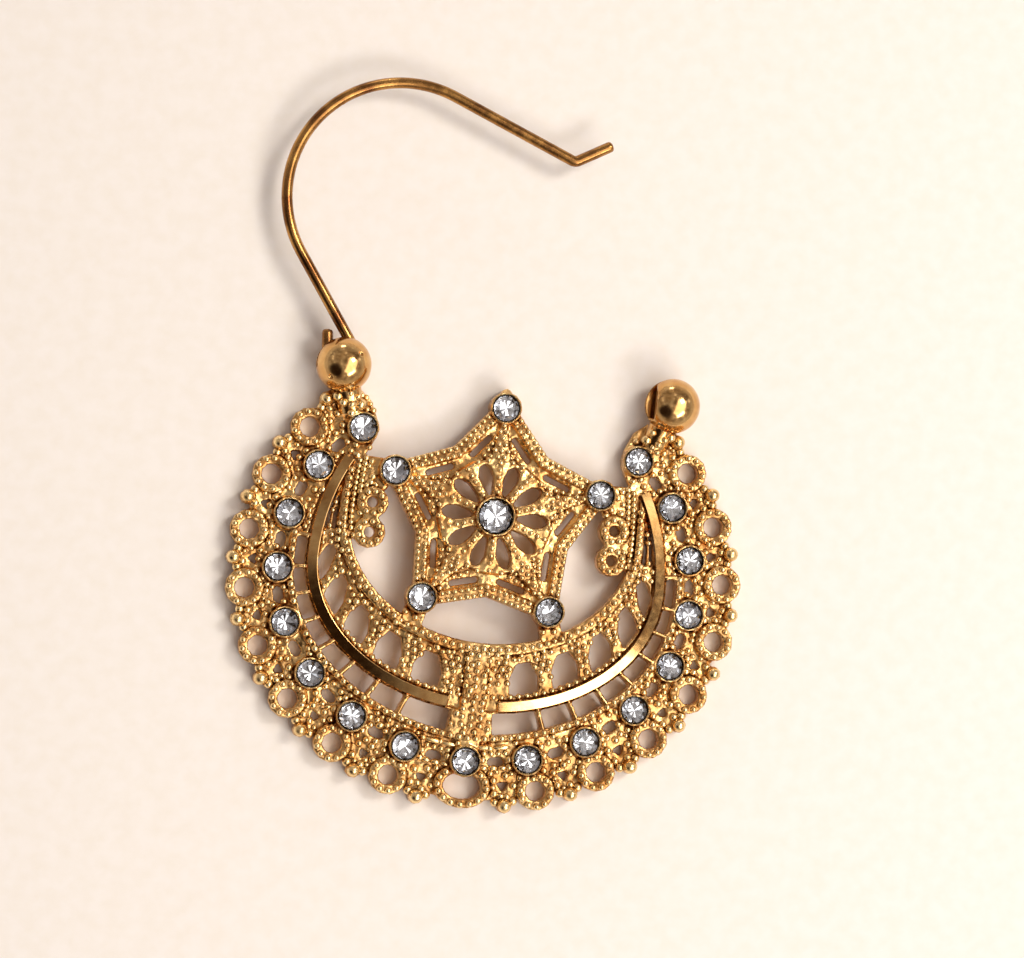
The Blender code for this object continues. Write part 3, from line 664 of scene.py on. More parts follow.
def coat(item, finish):
    """Gives a smooth piece its one material."""
    item.data.materials.clear()
    item.data.materials.append(finish)
    item.data.shade_smooth()


def settle(item):
    """Turns what a piece's modifiers make into its plain mesh."""
    seen = item.evaluated_get(bpy.context.evaluated_depsgraph_get())
    made = bpy.data.meshes.new_from_object(seen)
    before = item.data
    item.modifiers.clear()
    item.data = made
    bpy.data.meshes.remove(before)
    made.name = item.name
    return item


def finish_piece(item, body, slot, *nodes):
    """Brings a piece's mesh to its place in the frame and ties it to its body."""
    item.data.transform(PLACE)
    item.data.update()
    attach(item, body)
    if nodes:
        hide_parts(*nodes)
    return item


def new_tree(name, **inputs):
    """A Geometry Nodes tree with its group input and output, and named inputs of these kinds."""
    tree = bpy.data.node_groups.new(name, "GeometryNodeTree")
    tree.interface.new_socket("Geometry", in_out="OUTPUT", socket_type="NodeSocketGeometry")
    for label, kind in {"Geometry": "Geometry", **inputs}.items():
        tree.interface.new_socket(label, in_out="INPUT", socket_type="NodeSocket" + kind)
    return tree, tree.nodes.new("NodeGroupInput").outputs


def end_tree(tree, instances, finish):
    """Ends a tree as every one here ends: real meshes, shaded smooth, with their material."""
    real = add_node(tree, "GeometryNodeRealizeInstances", {"Geometry": instances})
    shaded = add_node(tree, "GeometryNodeSetShadeSmooth", {"Geometry": real.outputs[0]})
    done = add_node(tree, "GeometryNodeSetMaterial", {"Geometry": shaded.outputs[0], "Material": finish})
    add_node(tree, "NodeGroupOutput", {"Geometry": done.outputs[0]})
    return tree


def run_tree(item, tree, **values):
    """Gives a piece the tree with its inputs set, and keeps the result as a plain mesh."""
    step = item.modifiers.new(tree.name, "NODES")
    step.node_group = tree
    for socket in tree.interface.items_tree:
        if socket.in_out == "INPUT" and socket.name in values:
            step[socket.identifier] = values[socket.name]
    return settle(item)


def scattered_piece(name, tree, points, **values):
    """A gilt piece that a tree makes on points. Each point has its place, its size and its turn."""
    places, sizes, turns = zip(*points)
    mesh = bpy.data.meshes.new(name)
    mesh.from_pydata(places, [], [])
    size = mesh.attributes.new("size", "FLOAT_VECTOR", "POINT")
    size.data.foreach_set("vector", [value for triple in sizes for value in triple])
    turn = mesh.attributes.new("turn", "FLOAT", "POINT")
    turn.data.foreach_set("value", turns)
    return finish_piece(run_tree(add_piece(name, mesh), tree, **values), "hoop", "gilt_metal")


def placed_instances(tree, points, shape):
    """Puts a shape on the points, sized and turned as they say."""
    kind = "GeometryNodeInputNamedAttribute"
    size = add_node(tree, kind, {"Name": "size"}, data_type="FLOAT_VECTOR")
    turn = add_node(tree, kind, {"Name": "turn"}, data_type="FLOAT")
    about_z = add_node(tree, "ShaderNodeCombineXYZ", {"Z": turn.outputs[0]})
    put = add_node(
        tree,
        "GeometryNodeInstanceOnPoints",
        {"Points": points, "Instance": shape, "Rotation": about_z.outputs[0], "Scale": size.outputs[0]},
    )
    return put.outputs[0]


def swept_along(tree, path, outline, more):
    """An outline swept along a path."""
    inputs = {"Curve": path.outputs[0], "Profile Curve": outline.outputs[0], **more}
    return add_node(tree, "GeometryNodeCurveToMesh", inputs).outputs[0]


@functools.cache
def granule_tree():
    """Puts a round granule on each point. They are a little uneven, as melted grains are."""
    tree, given = new_tree("Granules", Roundness="Int", Unevenness="Float", Finish="Material")
    ball = add_node(tree, "GeometryNodeMeshIcoSphere", {"Radius": 1.0, "Subdivisions": given["Roundness"]})
    put = placed_instances(tree, given["Geometry"], ball.outputs[0])
    least, most = (
        add_node(tree, "ShaderNodeMath", {0: 1.0, 1: given["Unevenness"]}, operation=step).outputs[0]
        for step in ("SUBTRACT", "ADD")
    )
    vary = add_node(
        tree, "FunctionNodeRandomValue", {2: least, 3: most, "Seed": UNEVEN_SEED}, data_type="FLOAT"
    )
    uneven = add_node(tree, "GeometryNodeScaleInstances", {"Instances": put, "Scale": vary.outputs[1]})
    return end_tree(tree, uneven.outputs[0], given["Finish"])


@functools.cache
def bezel_tree():
    """Puts a thin upright wall with rounded edges round each stone."""
    tree, given = new_tree("Bezels", Wall="Float", Rise="Float", Finish="Material")
    ring = add_node(tree, "GeometryNodeCurvePrimitiveCircle", {"Radius": 1.0, "Resolution": 40})
    sides = {"Width": given["Wall"], "Height": given["Rise"]}
    wall = add_node(tree, "GeometryNodeCurvePrimitiveQuadrilateral", sides).outputs[0]
    corners = {"Curve": wall, "Radius": BEZEL_EDGE, "Count": 3}
    soft = add_node(tree, "GeometryNodeFilletCurve", corners, mode="POLY")
    swept = swept_along(tree, ring, soft, {})
    return end_tree(tree, placed_instances(tree, given["Geometry"], swept), given["Finish"])


@functools.cache
def strut_tree():
    """Puts a smooth round bar on each point, such as a strut of the ladder."""
    tree, given = new_tree("Struts", Sides="Int", Finish="Material")
    ends = {"Start": (-0.5, 0.0, 0.0), "End": (0.5, 0.0, 0.0)}
    line = add_node(tree, "GeometryNodeCurvePrimitiveLine", ends)
    outline = add_node(
        tree, "GeometryNodeCurvePrimitiveCircle", {"Radius": 0.5, "Resolution": given["Sides"]}
    )
    bar = swept_along(tree, line, outline, {"Fill Caps": True})
    return end_tree(tree, placed_instances(tree, given["Geometry"], bar), given["Finish"])


# Materials
def new_material(name):
    """A material with its tree and the place on the object that its patterns follow."""
    made = bpy.data.materials.new(name)
    made.use_nodes = True
    return made, made.node_tree, add_node(made.node_tree, "ShaderNodeTexCoord").outputs["Object"]


def shade(made, **inputs):
    """Sets the shader's own inputs, named with _ for each space."""
    shader = made.node_tree.nodes["Principled BSDF"]
    feed(made.node_tree, shader, {name.replace("_", " "): value for name, value in inputs.items()})
    return made


def bump(tree, height, strength, depth):
    """Small relief of this depth in millimetres."""
    inputs = {"Strength": strength, "Distance": depth * MM, "Height": height}
    return add_node(tree, "ShaderNodeBump", inputs).outputs[0]


def grain(tree, place, millimetres, detail=3.0):
    """Noise whose patches are about this wide."""
    inputs = {"Vector": place, "Scale": 1.0 / (millimetres * MM), "Detail": detail}
    return add_node(tree, "ShaderNodeTexNoise", inputs).outputs[0]


def stepped(tree, value, low, high, to_low=0.0, to_high=1.0):
    """Spreads a stretch of a value over another range."""
    inputs = {"Value": value, "From Min": low, "From Max": high, "To Min": to_low, "To Max": to_high}
    return add_node(tree, "ShaderNodeMapRange", inputs).outputs[0]


def mixed(tree, share, a, b):
    """A colour between two, which may be other nodes' outputs."""
    a, b = (c if isinstance(c, bpy.types.NodeSocket) else (*c, 1.0) for c in (a, b))
    return add_node(tree, "ShaderNodeMix", {0: share, 6: a, 7: b}, data_type="RGBA").outputs[2]


def metal(name, colour_of, rough_patch, roughness, relief):
    """A metal whose colour a function mixes. Roughness is its least and most, in patches this wide.
    Relief is the width, strength, depth and detail of the small unevenness that breaks reflections."""
    made, tree, place = new_material(name)
    width, strength, depth, detail = relief
    skin = bump(tree, grain(tree, place, width, detail), strength, depth)
    rough = stepped(tree, grain(tree, place, rough_patch), 0.3, 0.7, *roughness)
    return shade(made, Base_Color=colour_of(tree, place), Roughness=rough, Normal=skin, Metallic=1.0)


def gilt_cast_brass(name, bright, dull, roughness, pit_width, pit_strength):
    """Brass cast in a mould and gilt: warm yellow where it is rubbed, thinner and browner in patches, with
    painted shade in the hollows, dark brown where ambient occlusion finds the metal enclosed, and a finely
    pitted skin."""

    def colour(tree, place):
        patches = stepped(tree, grain(tree, place, 1.7), 0.35, 0.68)
        # Painted shade: enclosed spots are darkened towards the recess colour where ambient occlusion finds
        # them
        occlusion_probe = add_node(tree, "ShaderNodeAmbientOcclusion", {"Distance": 0.4 * MM}, samples=4)
        painted_shade_share = stepped(tree, occlusion_probe.outputs["AO"], 0.2, 0.75)
        painted_recess_shade = bpy.context.scene.earring_colours.painted_recess_shade
        return mixed(tree, painted_shade_share, painted_recess_shade, mixed(tree, patches, bright, dull))

    return metal(name, colour, 0.6, roughness, (pit_width, pit_strength, 0.09, 2.0))


@functools.cache
def plate_gilt():
    """The plate itself: thin gilding, seldom rubbed, so browner than what stands on it."""
    colours = bpy.context.scene.earring_colours
    return gilt_cast_brass("gilt_cast_plate", colours.gilt, colours.worn_gilt, (0.2, 0.36), 0.34, 0.42)


@functools.cache
def granule_gilt():
    """Fused granules, rubbed bright by handling."""
    colours = bpy.context.scene.earring_colours
    return gilt_cast_brass("gilt_granulation", colours.rubbed_gilt, colours.gilt, (0.2, 0.32), 0.3, 0.2)


@functools.cache
def polished_gilt():
    """Gilding burnished to a mirror: clean reflections, with cloudy patches where it has worn."""

    def colour(tree, place):
        colours = bpy.context.scene.earring_colours
        cloud = stepped(tree, grain(tree, place, 1.1), 0.35, 0.75, 0.25, 0.9)
        return mixed(tree, cloud, colours.gilt, colours.worn_gilt)

    return metal("burnished_gilt", colour, 0.4, (0.1, 0.2), (0.5, 0.12, 0.02, 3.0))


@functools.cache
def drawn_bronze_wire():
    """Drawn and lacquered bronze-toned wire: yellow where it is rubbed and brown where it has aged, with
    the slight unevenness that drawing leaves."""

    def colour(tree, place):
        colours = bpy.context.scene.earring_colours
        aged = stepped(tree, grain(tree, place, 2.4, 4.0), 0.38, 0.66)
        return mixed(tree, aged, colours.wire, colours.wire_brown)

    return metal("drawn_bronze_wire", colour, 0.5, (0.16, 0.32), (0.3, 0.2, 0.02, 3.0))


@functools.cache
def silver_foil():
    """Silver foil pressed on the back facets of a paste stone: it throws the light back like a mirror."""
    made, tree, place = new_material("silver_foil")
    dull = stepped(tree, grain(tree, place, 0.9), 0.35, 0.7)
    tint = mixed(tree, dull, bpy.context.scene.earring_colours.foil, linear("#A9AAB0"))
    return shade(made, Base_Color=tint, Metallic=1.0, Roughness=0.06)


@functools.cache
def paste_glass():
    """Clear cut glass, as in paste stones: sharp facets, no colour of its own."""
    made, tree, place = new_material("paste_glass")
    wipe = stepped(tree, grain(tree, place, 0.8), 0.45, 0.75, 0.0, 0.06)
    clear = (*linear("#FAFCFF"), 1.0)
    return shade(made, Base_Color=clear, Roughness=wipe, Transmission_Weight=1.0, IOR=1.52)


def matt_paper():
    """Matt drawing paper: warm white, with soft fibres about a third of a millimetre wide."""
    made, tree, place = new_material("matt_paper")
    cloud = stepped(tree, grain(tree, place, 1.2, 4.0), 0.35, 0.7)
    tint = mixed(tree, cloud, bpy.context.scene.earring_colours.paper, linear("#F1E9E1"))
    fibres = bump(tree, grain(tree, place, 0.35, 5.0), 0.12, 0.05)
    return shade(made, Base_Color=tint, Normal=fibres, Roughness=0.9, Specular_IOR_Level=0.2)


# The stage
CAMERA_AT = (-33.19, -15.94, 247.2)
CAMERA_AIM = (1.25, -1.82, 0.0)
CAMERA_UP = (-0.1207, 0.9919, 0.0398)
CAMERA_AWAY = 250.0
FIELD_WIDTH = 74.08
SENSOR_WIDTH = 36.0
FLOOR_HALF = 900.0

# Bearing and elevation in degrees and distance from the star, width, height, radiance and hex colour of
# each light. Widths and distances are in millimetres.
Lamp = namedtuple("Lamp", "name bearing elevation distance width height radiance colour")
LAMPS = [
    Lamp("window", -14.0, 62.5, 340.0, 430.0, 240.0, 2.22, "#FFF9F1"),
    Lamp("bright_pane", 34.0, 53.0, 400.0, 94.0, 94.0, 17.0, "#FFF9EE"),
    Lamp("south_window", -46.0, 43.0, 500.0, 290.0, 92.0, 7.8, "#FFFCF6"),
    Lamp("far_window", 100.0, 12.0, 640.0, 130.0, 70.0, 8.0, "#FFFFFF"),
]
PERSON_WAY = (-0.56, -0.5, 0.66)
ROOM_STRENGTH = 0.88


def make_camera():
    data = bpy.data.cameras.new("camera")
    data.sensor_width = SENSOR_WIDTH
    data.lens = SENSOR_WIDTH * CAMERA_AWAY / FIELD_WIDTH
    data.clip_start = 10.0 * MM
    camera = bpy.data.objects.new("camera", data)
    bpy.context.scene.collection.objects.link(camera)
    back = (Vector(CAMERA_AT) - Vector(CAMERA_AIM)).normalized()
    right = Vector(CAMERA_UP).cross(back).normalized()
    axes = Matrix((right, back.cross(right), back)).transposed().to_4x4()
    camera.matrix_world = Matrix.Translation(Vector(CAMERA_AT) * MM) @ axes
    bpy.context.scene.camera = camera


def make_lamps():
    for lamp in LAMPS:
        data = bpy.data.lights.new(lamp.name, "AREA")
        data.shape = "RECTANGLE"
        data.size, data.size_y = lamp.width * MM, lamp.height * MM
        data.energy = lamp.radiance * math.pi * data.size * data.size_y
        data.color = linear(lamp.colour)
        item = bpy.data.objects.new(lamp.name, data)
        bpy.context.scene.collection.objects.link(item)
        level = math.cos(math.radians(lamp.elevation))
        out = Vector((*(polar(1.0, lamp.bearing) * level), math.sin(math.radians(lamp.elevation))))
        item.location = out * lamp.distance * MM
        item.rotation_euler = out.to_track_quat("Z", "Y").to_euler()


def make_world():
    """A lived-in room seen from the table: plain and pale near the horizon, with brown and pale
    patches, small bright things and the dark shape of the person who leans over above it."""
    world = bpy.data.worlds.new("room")
    world.use_nodes = True
    bpy.context.scene.world = world
    tree = world.node_tree
    way = add_node(tree, "ShaderNodeTexCoord").outputs["Generated"]
    broad = add_node(tree, "ShaderNodeTexNoise", {"Vector": way, "Scale": 2.3, "Detail": 2.0}).outputs[0]
    room = mixed(tree, stepped(tree, broad, 0.4, 0.6), linear("#75675F"), linear("#BDB4AE"))
    small = add_node(tree, "ShaderNodeTexNoise", {"Vector": way, "Scale": 6.5, "Detail": 1.0}).outputs[0]
    room = mixed(tree, stepped(tree, small, 0.62, 0.7), room, (1.6, 1.55, 1.5))
    toward = add_node(tree, "ShaderNodeVectorMath", {0: way, 1: PERSON_WAY}, operation="DOT_PRODUCT")
    room = mixed(tree, stepped(tree, toward.outputs["Value"], 0.84, 0.93), room, linear("#2E2119"))
    rise = add_node(tree, "ShaderNodeSeparateXYZ", {"Vector": way}).outputs["Z"]
    room = mixed(tree, stepped(tree, rise, 0.15, 0.35), linear("#D9D2CC"), room)
    feed(tree, tree.nodes["Background"], {"Color": room, "Strength": ROOM_STRENGTH})


def make_floor():
    def build(shape):
        bmesh.ops.create_grid(shape, x_segments=1, y_segments=1, size=FLOOR_HALF * MM)

    floor = build_piece("paper_floor", build)
    floor.data.materials.append(matt_paper())


# The cast plate
def ball_middle(side):
    return Vector((side * BALL_X, BALL_Y, BALL_RADIUS))


def hidden_tool(name, make, **shape_of):
    """A hidden solid to cut or join with, from one of bmesh's own makers."""
    item = build_piece(name, lambda shape: make(shape, **shape_of))
    item.hide_render = True
    return item


def sphere_tool(name, at, radius):
    sides = {"u_segments": 24, "v_segments": 16}
    return hidden_tool(
        name, bmesh.ops.create_uvsphere, radius=radius, matrix=Matrix.Translation(at), **sides
    )


def box_tool(name, low, high):
    low, high = Vector(low), Vector(high)
    place = Matrix.Translation((low + high) / 2.0) @ Matrix.Diagonal((*(high - low), 1.0))
    return hidden_tool(name, bmesh.ops.create_cube, size=1.0, matrix=place)


def rod_tool(name, radius, top_radius, depth, sides, place=Matrix.Identity(4)):
    """A rod or cone along Z, brought to its place."""
    ends = {"cap_ends": True, "segments": sides, "radius1": radius, "radius2": top_radius}
    return hidden_tool(name, bmesh.ops.create_cone, depth=depth, matrix=place, **ends)


def combine(item, tools, operation):
    """Cuts tools away from a piece, or joins them on."""
    for tool in tools:
        step = item.modifiers.new(tool.name, "BOOLEAN")
        step.operation = operation
        step.solver = "EXACT"
        step.object = tool


def drop(tools):
    for tool in tools:
        bpy.data.objects.remove(tool)


def remesh(item, cell, smoothing):
    step = item.modifiers.new("cast skin", "REMESH")
    step.mode = "VOXEL"
    step.voxel_size = cell
    step.use_smooth_shade = True
    step = item.modifiers.new("soft edges", "SMOOTH")
    step.factor = 0.5
    step.iterations = smoothing


def make_plate(sizes):
    """The frame's hoop again, with its steps and edges softened as a casting's are."""
    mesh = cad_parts["filigree_hoop"].data.copy()
    mesh.transform(PLACE.inverted())
    shape = bmesh.new()
    shape.from_mesh(mesh)
    bmesh.ops.remove_doubles(shape, verts=shape.verts, dist=0.0005)
    shape.to_mesh(mesh)
    shape.free()
    plate = add_piece("cast_plate", mesh)
    tools = [sphere_tool("ball_clearance", ball_middle(side), BALL_RADIUS * 1.06) for side in (-1, 1)]
    combine(plate, tools, "DIFFERENCE")
    remesh(plate, sizes.cast_grain / MM, 3)
    settle(plate)
    drop(tools)
    faces_up = [tuple(item.vector) for item in plate.data.vertex_normals]
    places = [vertex.co.copy() for vertex in plate.data.vertices]
    for at, normal in zip(places, faces_up):
        above = at.z - dome(at.x, at.y) - PLATE_THICKNESS
        if above > -0.5 * PLATE_THICKNESS:
            lump = sum(noise.noise(at * scale) * height for scale, height in CAST_LUMPS)
            at += Vector(normal) * lump * max(0.0, normal[2])
        if above > -BAND_BED:
            offset, angle = band_offset(at.x, at.y)
            if abs(offset) < BAND_WIDTH / 2.0 + 0.1 and BAND_START_DEG < abs(angle) < BAND_END_DEG:
                at.z -= above + BAND_BED
    plate.data.vertices.foreach_set("co", [value for at in places for value in at])
    thin = plate.modifiers.new("fewer faces", "DECIMATE")
    thin.ratio = min(1.0, PLATE_TRIANGLES / (2.0 * len(plate.data.polygons)))
    settle(plate)
    coat(plate, plate_gilt())
    return finish_piece(plate, "hoop", "gilt_metal", "filigree_hoop")


def make_band(sizes):
    """The smooth band. Its face leans outwards and its edges are eased."""
    fall = BAND_WIDTH * math.tan(sizes.band_lean)
    half = BAND_WIDTH / 2.0
    foot = BAND_CREST + BAND_BED + 0.08
    face = [(-half, 0.12), (-half + 0.05, 0.05), (half - 0.05, 0.92), (half, 1.15)]
    across = [(-half, None), *face, (half, None)]

    def build(shape):
        for side in (-1, 1):
            rings = []
            for a in spread(BAND_START_DEG, BAND_END_DEG, 120):
                point, _, outwards = row_axes(BAND_ROW, side * a)
                base = dome(point.x, point.y) + PLATE_THICKNESS + BAND_CREST
                ring = []
                for offset, share in across:
                    at = point + outwards * offset
                    height = base - foot if share is None else base - fall * share
                    ring.append(shape.verts.new((at.x, at.y, height)))
                rings.append(ring)
            loft(shape, rings)
        bmesh.ops.recalc_face_normals(shape, faces=shape.faces)

    band = build_piece("polished_band", build)
    coat(band, polished_gilt())
    band.data.set_sharp_from_angle(angle=math.radians(12.0))
    return finish_piece(band, "hoop", "gilt_metal")


def make_struts():
    """The smooth struts that join the band to the beaded rail."""
    points = []
    for i, side in itertools.product(range(LADDER_SQUARES + 1), (-1, 1)):
        a = side * (LADDER_WIDE_DEG + LADDER_PITCH_DEG * i)
        inner = row_point(widened(BAND_ROW, BAND_WIDTH / 2.0), a)
        outer = row_point(widened(BAND_ROW, LADDER_INNER_OFFSET + ladder_width(a)), a)
        middle, span = (inner + outer) / 2.0, outer - inner
        place = (*middle, dome(*middle) + PLATE_THICKNESS + STRUT_RISE)
        points.append((place, (span.length, *STRUT_SECTION), math.atan2(span.y, span.x)))
    return scattered_piece("ladder_struts", strut_tree(), points, Sides=10, Finish=polished_gilt())


def lay_granules(name, group, roundness=2):
    """Stands one group of granules on the plate's face."""
    sizes = bpy.context.scene.earring_sizes
    radii = (sizes.granule / MM, sizes.fine_granule / MM, sizes.edge_ball / MM)
    points = []
    for g in granule_groups(*radii, sizes.scatter_seed)[group]:
        lift = GRANULE_LIFT if g.radius < LARGE_GRANULE else LARGE_LIFT
        place = (g.x, g.y, stand_height(g) + lift * g.radius)
        points.append((place, (g.radius * g.length, g.radius, g.radius), g.turn))
    looks = {"Roundness": roundness, "Unevenness": UNEVENNESS, "Finish": granule_gilt()}
    return scattered_piece(name, granule_tree(), points, **looks)


def make_bezels():
    """The thin walls that hold the stones."""
    points = []
    for _, x, y, foot, girdle in stones():
        radius = girdle + BEZEL_CLEARANCE + BEZEL_WALL / 2.0
        middle = foot + STONE_SEAT_DEPTH + BEZEL_RISE / 2.0 - BEZEL_SUNK
        points.append(((x, y, middle), (radius, radius, 1.0), 0.0))
    looks = {"Wall": BEZEL_WALL, "Rise": BEZEL_RISE, "Finish": granule_gilt()}
    return scattered_piece("stone_bezels", bezel_tree(), points, **looks)


# Level and width of each ring of a cut stone, as shares of its height and girdle radius, with the
# number of corners and the turn in shares of a corner. Every other corner of the clear part's lowest
# ring is brought down by the flute's depth. The lowest point closes the flutes.
CutRing = namedtuple("CutRing", "level width corners turn")
CLEAR_CUT = [
    CutRing(0.56, 1.0, 16, 0.0),
    CutRing(0.68, 1.0, 16, 0.0),
    CutRing(0.88, 0.82, 8, 0.5),
    CutRing(0.98, 0.62, 8, 0.0),
]
BACKING_CUT = [CutRing(0.0, 0.1, 8, 0.0), CutRing(0.4, 0.96, 16, 0.0)]
CLEAR_FROM = 0.58
PIVOT_LEVEL = 0.6
STONE_SEED = 5
STONE_SCALE = 0.97
STONE_LEAN_DEG = 4.0
LEAN_TO_WINDOW_DEG = 4.5
FLUTE_MIDDLE = 0.475
FLUTE_DEPTH = 0.04
FLUTE_UNEVENNESS = 0.015


def make_stones():
    """Each stone by itself: a clear crown whose pressed back is foiled and fluted, so that its flutes
    flash bright and dark in turn, over the plain foiled cone. They were set by hand, so each leans a
    little its own way."""
    draw = random.Random(STONE_SEED)
    for name, x, y, foot, girdle in stones():
        low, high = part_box(name)
        height = (high.z - low.z) / MM
        turn = draw.uniform(0.0, 45.0)
        lean_x, lean_y = (math.radians(draw.uniform(-STONE_LEAN_DEG, STONE_LEAN_DEG)) for _ in range(2))
        lean_y += math.radians(LEAN_TO_WINDOW_DEG)
        lean = Matrix.Rotation(lean_x, 3, "X") @ Matrix.Rotation(lean_y, 3, "Y")

        def cut(shape, rings):
            corners = []
            for ring in rings:
                for i in range(ring.corners):
                    a = math.radians(turn) + math.tau * (i + ring.turn) / ring.corners
                    corners.append(shape.verts.new(corner(a, ring.level, ring.width)))
            bmesh.ops.convex_hull(shape, input=corners)
            return corners

        def corner(a, level, width):
            width *= STONE_SCALE * girdle
            at = lean @ Vector((width * math.cos(a), width * math.sin(a), height * (level - PIVOT_LEVEL)))
            rise = min(max(PIVOT_LEVEL * height + at.z, 0.0), height)
            return x + at.x, y + at.y, foot + rise

        def build(shape):
            brim = cut(shape, CLEAR_CUT)[:CLEAR_CUT[0].corners]
            floor = [face for face in shape.faces if all(vert in brim for vert in face.verts)]
            bmesh.ops.delete(shape, geom=floor, context="FACES")
            for vert in brim[::2]:
                vert.co.z -= (FLUTE_DEPTH + draw.uniform(-FLUTE_UNEVENNESS, FLUTE_UNEVENNESS)) * height
            low_point = shape.verts.new(corner(0.0, FLUTE_MIDDLE, 0.0))
            for i, vert in enumerate(brim):
                shape.faces.new((low_point, brim[(i + 1) % len(brim)], vert))
            cut(shape, BACKING_CUT)
            bmesh.ops.recalc_face_normals(shape, faces=shape.faces)

        stone = build_piece(name + "_cut", build)
        stone.data.materials.append(silver_foil())
        stone.data.materials.append(paste_glass())
        for face in stone.data.polygons:
            face.material_index = 1 if face.center.z > foot + CLEAR_FROM * height else 0
        finish_piece(stone, "hoop", "clear_stone", name)


def make_balls(sizes):
    """The hinge ball and the catch ball, turned, slotted and polished, with their short necks."""
    half, reach = SLOT_THICKNESS / 2.0, BALL_RADIUS + 1.0
    for name, side in (("hinge_ball", -1), ("catch_ball", 1)):
        middle = ball_middle(side)
        foot = Vector((side * HORN_FOOT[0], HORN_FOOT[1], HORN_FOOT[2])) - middle
        start = foot * 0.3
        turn = (foot - start).to_track_quat("Z", "Y").to_matrix().to_4x4()
        place = Matrix.Translation((start + foot) / 2.0) @ turn
        joined = [rod_tool("neck", *NECK_RADII, (foot - start).length, 40, place)]
        if side < 0:
            cuts = [
                box_tool("mouth", (-reach, -HINGE_SLOT_BELOW, -half), (reach, reach, half)),
                rod_tool("pocket", HINGE_POCKET_RADIUS, HINGE_POCKET_RADIUS, SLOT_THICKNESS, 64),
            ]
            joined.append(rod_tool("post", POST_RADIUS, POST_RADIUS, POST_LENGTH, 32))
        else:
            cuts = [
                box_tool("slot", (-reach, -CATCH_SLOT_BELOW, -half), (reach, reach, half)),
                box_tool("trim", (-reach, -0.6 * BALL_RADIUS, -0.1), (-CATCH_TRIM_AT, reach, reach)),
            ]
        for way in BALL_DIMPLES[side]:
            cuts.append(sphere_tool("dimple", Vector(way).normalized() * BALL_RADIUS, DIMPLE_RADIUS))
        ball = build_piece(
            name + "_polished",
            lambda shape: bmesh.ops.create_uvsphere(
                shape, u_segments=96, v_segments=64, radius=BALL_RADIUS
            ),
        )
        combine(ball, joined[:1], "UNION")
        combine(ball, cuts, "DIFFERENCE")
        combine(ball, joined[1:], "UNION")
        remesh(ball, sizes.ball_grain / MM, 3)
        settle(ball)
        drop(joined + cuts)
        for vertex in ball.data.vertices:
            away = vertex.co.length
            if abs(away - BALL_RADIUS) < BALL_SKIN:
                vertex.co *= BALL_RADIUS / away * BALL_FIT
        ball.data.transform(Matrix.Translation(middle))
        coat(ball, polished_gilt())
        finish_piece(ball, "hoop", "gilt_metal")


def wire_route():
    """The wire's middle line from the hinge post: stub, eye, leg, arch, fall, bend and tail."""
    arch = Vector(ARCH_CENTRE)
    bearing = math.degrees(math.atan2(arch.y, arch.x))
    lean = bearing - math.degrees(math.acos((WIRE_EYE_RADIUS + ARCH_RADIUS) / arch.length))
    eye_start = polar(WIRE_EYE_RADIUS, WIRE_STUB_DEG)
    stub = eye_start - polar(WIRE_STUB_LENGTH, WIRE_STUB_DEG + 90.0)
    route = [stub.lerp(eye_start, i / 8.0) for i in range(8)]
    route += [polar(WIRE_EYE_RADIUS, a) for a in spread(WIRE_STUB_DEG, 360.0 + lean, 36)]
    leg_start, leg_end = polar(WIRE_EYE_RADIUS, lean), arch - polar(ARCH_RADIUS, lean)
    route += [leg_start.lerp(leg_end, i / 18.0) for i in range(1, 18)]
    route += [arch + polar(ARCH_RADIUS, a) for a in spread(180.0 + lean, 90.0 + FALL_DEG, 80)]
    bend = route[-1] + polar(FALL_LENGTH, FALL_DEG)
    setback = TAIL_BEND_RADIUS * math.tan(math.radians(TAIL_DEG - FALL_DEG) / 2.0)
    bend_start = bend - polar(setback, FALL_DEG)
    bend_centre = bend_start + polar(TAIL_BEND_RADIUS, FALL_DEG + 90.0)
    route += [route[-1].lerp(bend_start, i / 18.0) for i in range(1, 18)]
    route += [bend_centre + polar(TAIL_BEND_RADIUS, a) for a in spread(FALL_DEG - 90.0, TAIL_DEG - 90.0, 10)]
    route += [bend + polar(setback + (TAIL_LENGTH - setback) * i / 8.0, TAIL_DEG) for i in range(1, 9)]
    return route


def make_wire():
    """The round ear wire, with its cut ends slightly rounded."""
    route = [Vector((p.x, p.y, 0.0)) for p in wire_route()]
    radii = [WIRE_RADIUS] * len(route)
    for end, beside in ((0, 1), (-1, -2)):
        inwards = (route[beside] - route[end]).normalized()
        points = [route[end] + inwards * back for back, _ in WIRE_LIP]
        scales = [WIRE_RADIUS * share for _, share in WIRE_LIP]
        if end == 0:
            route, radii = points + route[1:], scales + radii[1:]
        else:
            route, radii = route[:-1] + points[::-1], radii[:-1] + scales[::-1]

    def build(shape):
        rings = []
        for i, (at, radius) in enumerate(zip(route, radii)):
            ahead = route[min(i + 1, len(route) - 1)] - route[max(i - 1, 0)]
            side = Vector((-ahead.y, ahead.x, 0.0)).normalized()
            ring = []
            for k in range(WIRE_SIDES):
                a = math.tau * k / WIRE_SIDES
                flat = at + side * radius * math.cos(a)
                ring.append(shape.verts.new(flat + Vector((0.0, 0.0, radius * math.sin(a)))))
            rings.append(ring)
        loft(shape, rings)
        bmesh.ops.recalc_face_normals(shape, faces=shape.faces)

    wire = build_piece("drawn_ear_wire", build)
    wire.data.transform(Matrix.Translation(ball_middle(-1)))
    coat(wire, drawn_bronze_wire())
    wire.data.set_sharp_from_angle(angle=math.radians(50.0))
    return finish_piece(wire, "wire", "wire_metal", "ear_wire")


class EARRING_OT_stage(bpy.types.Operator):
    """Makes the camera, the lights, the room and the paper"""

    bl_idname = "earring.stage"
    bl_label = "Stage"

    def execute(self, context):
        make_camera()
        make_lamps()
        make_world()
        make_floor()
        context.scene.view_settings.view_transform = "Standard"
        return {"FINISHED"}


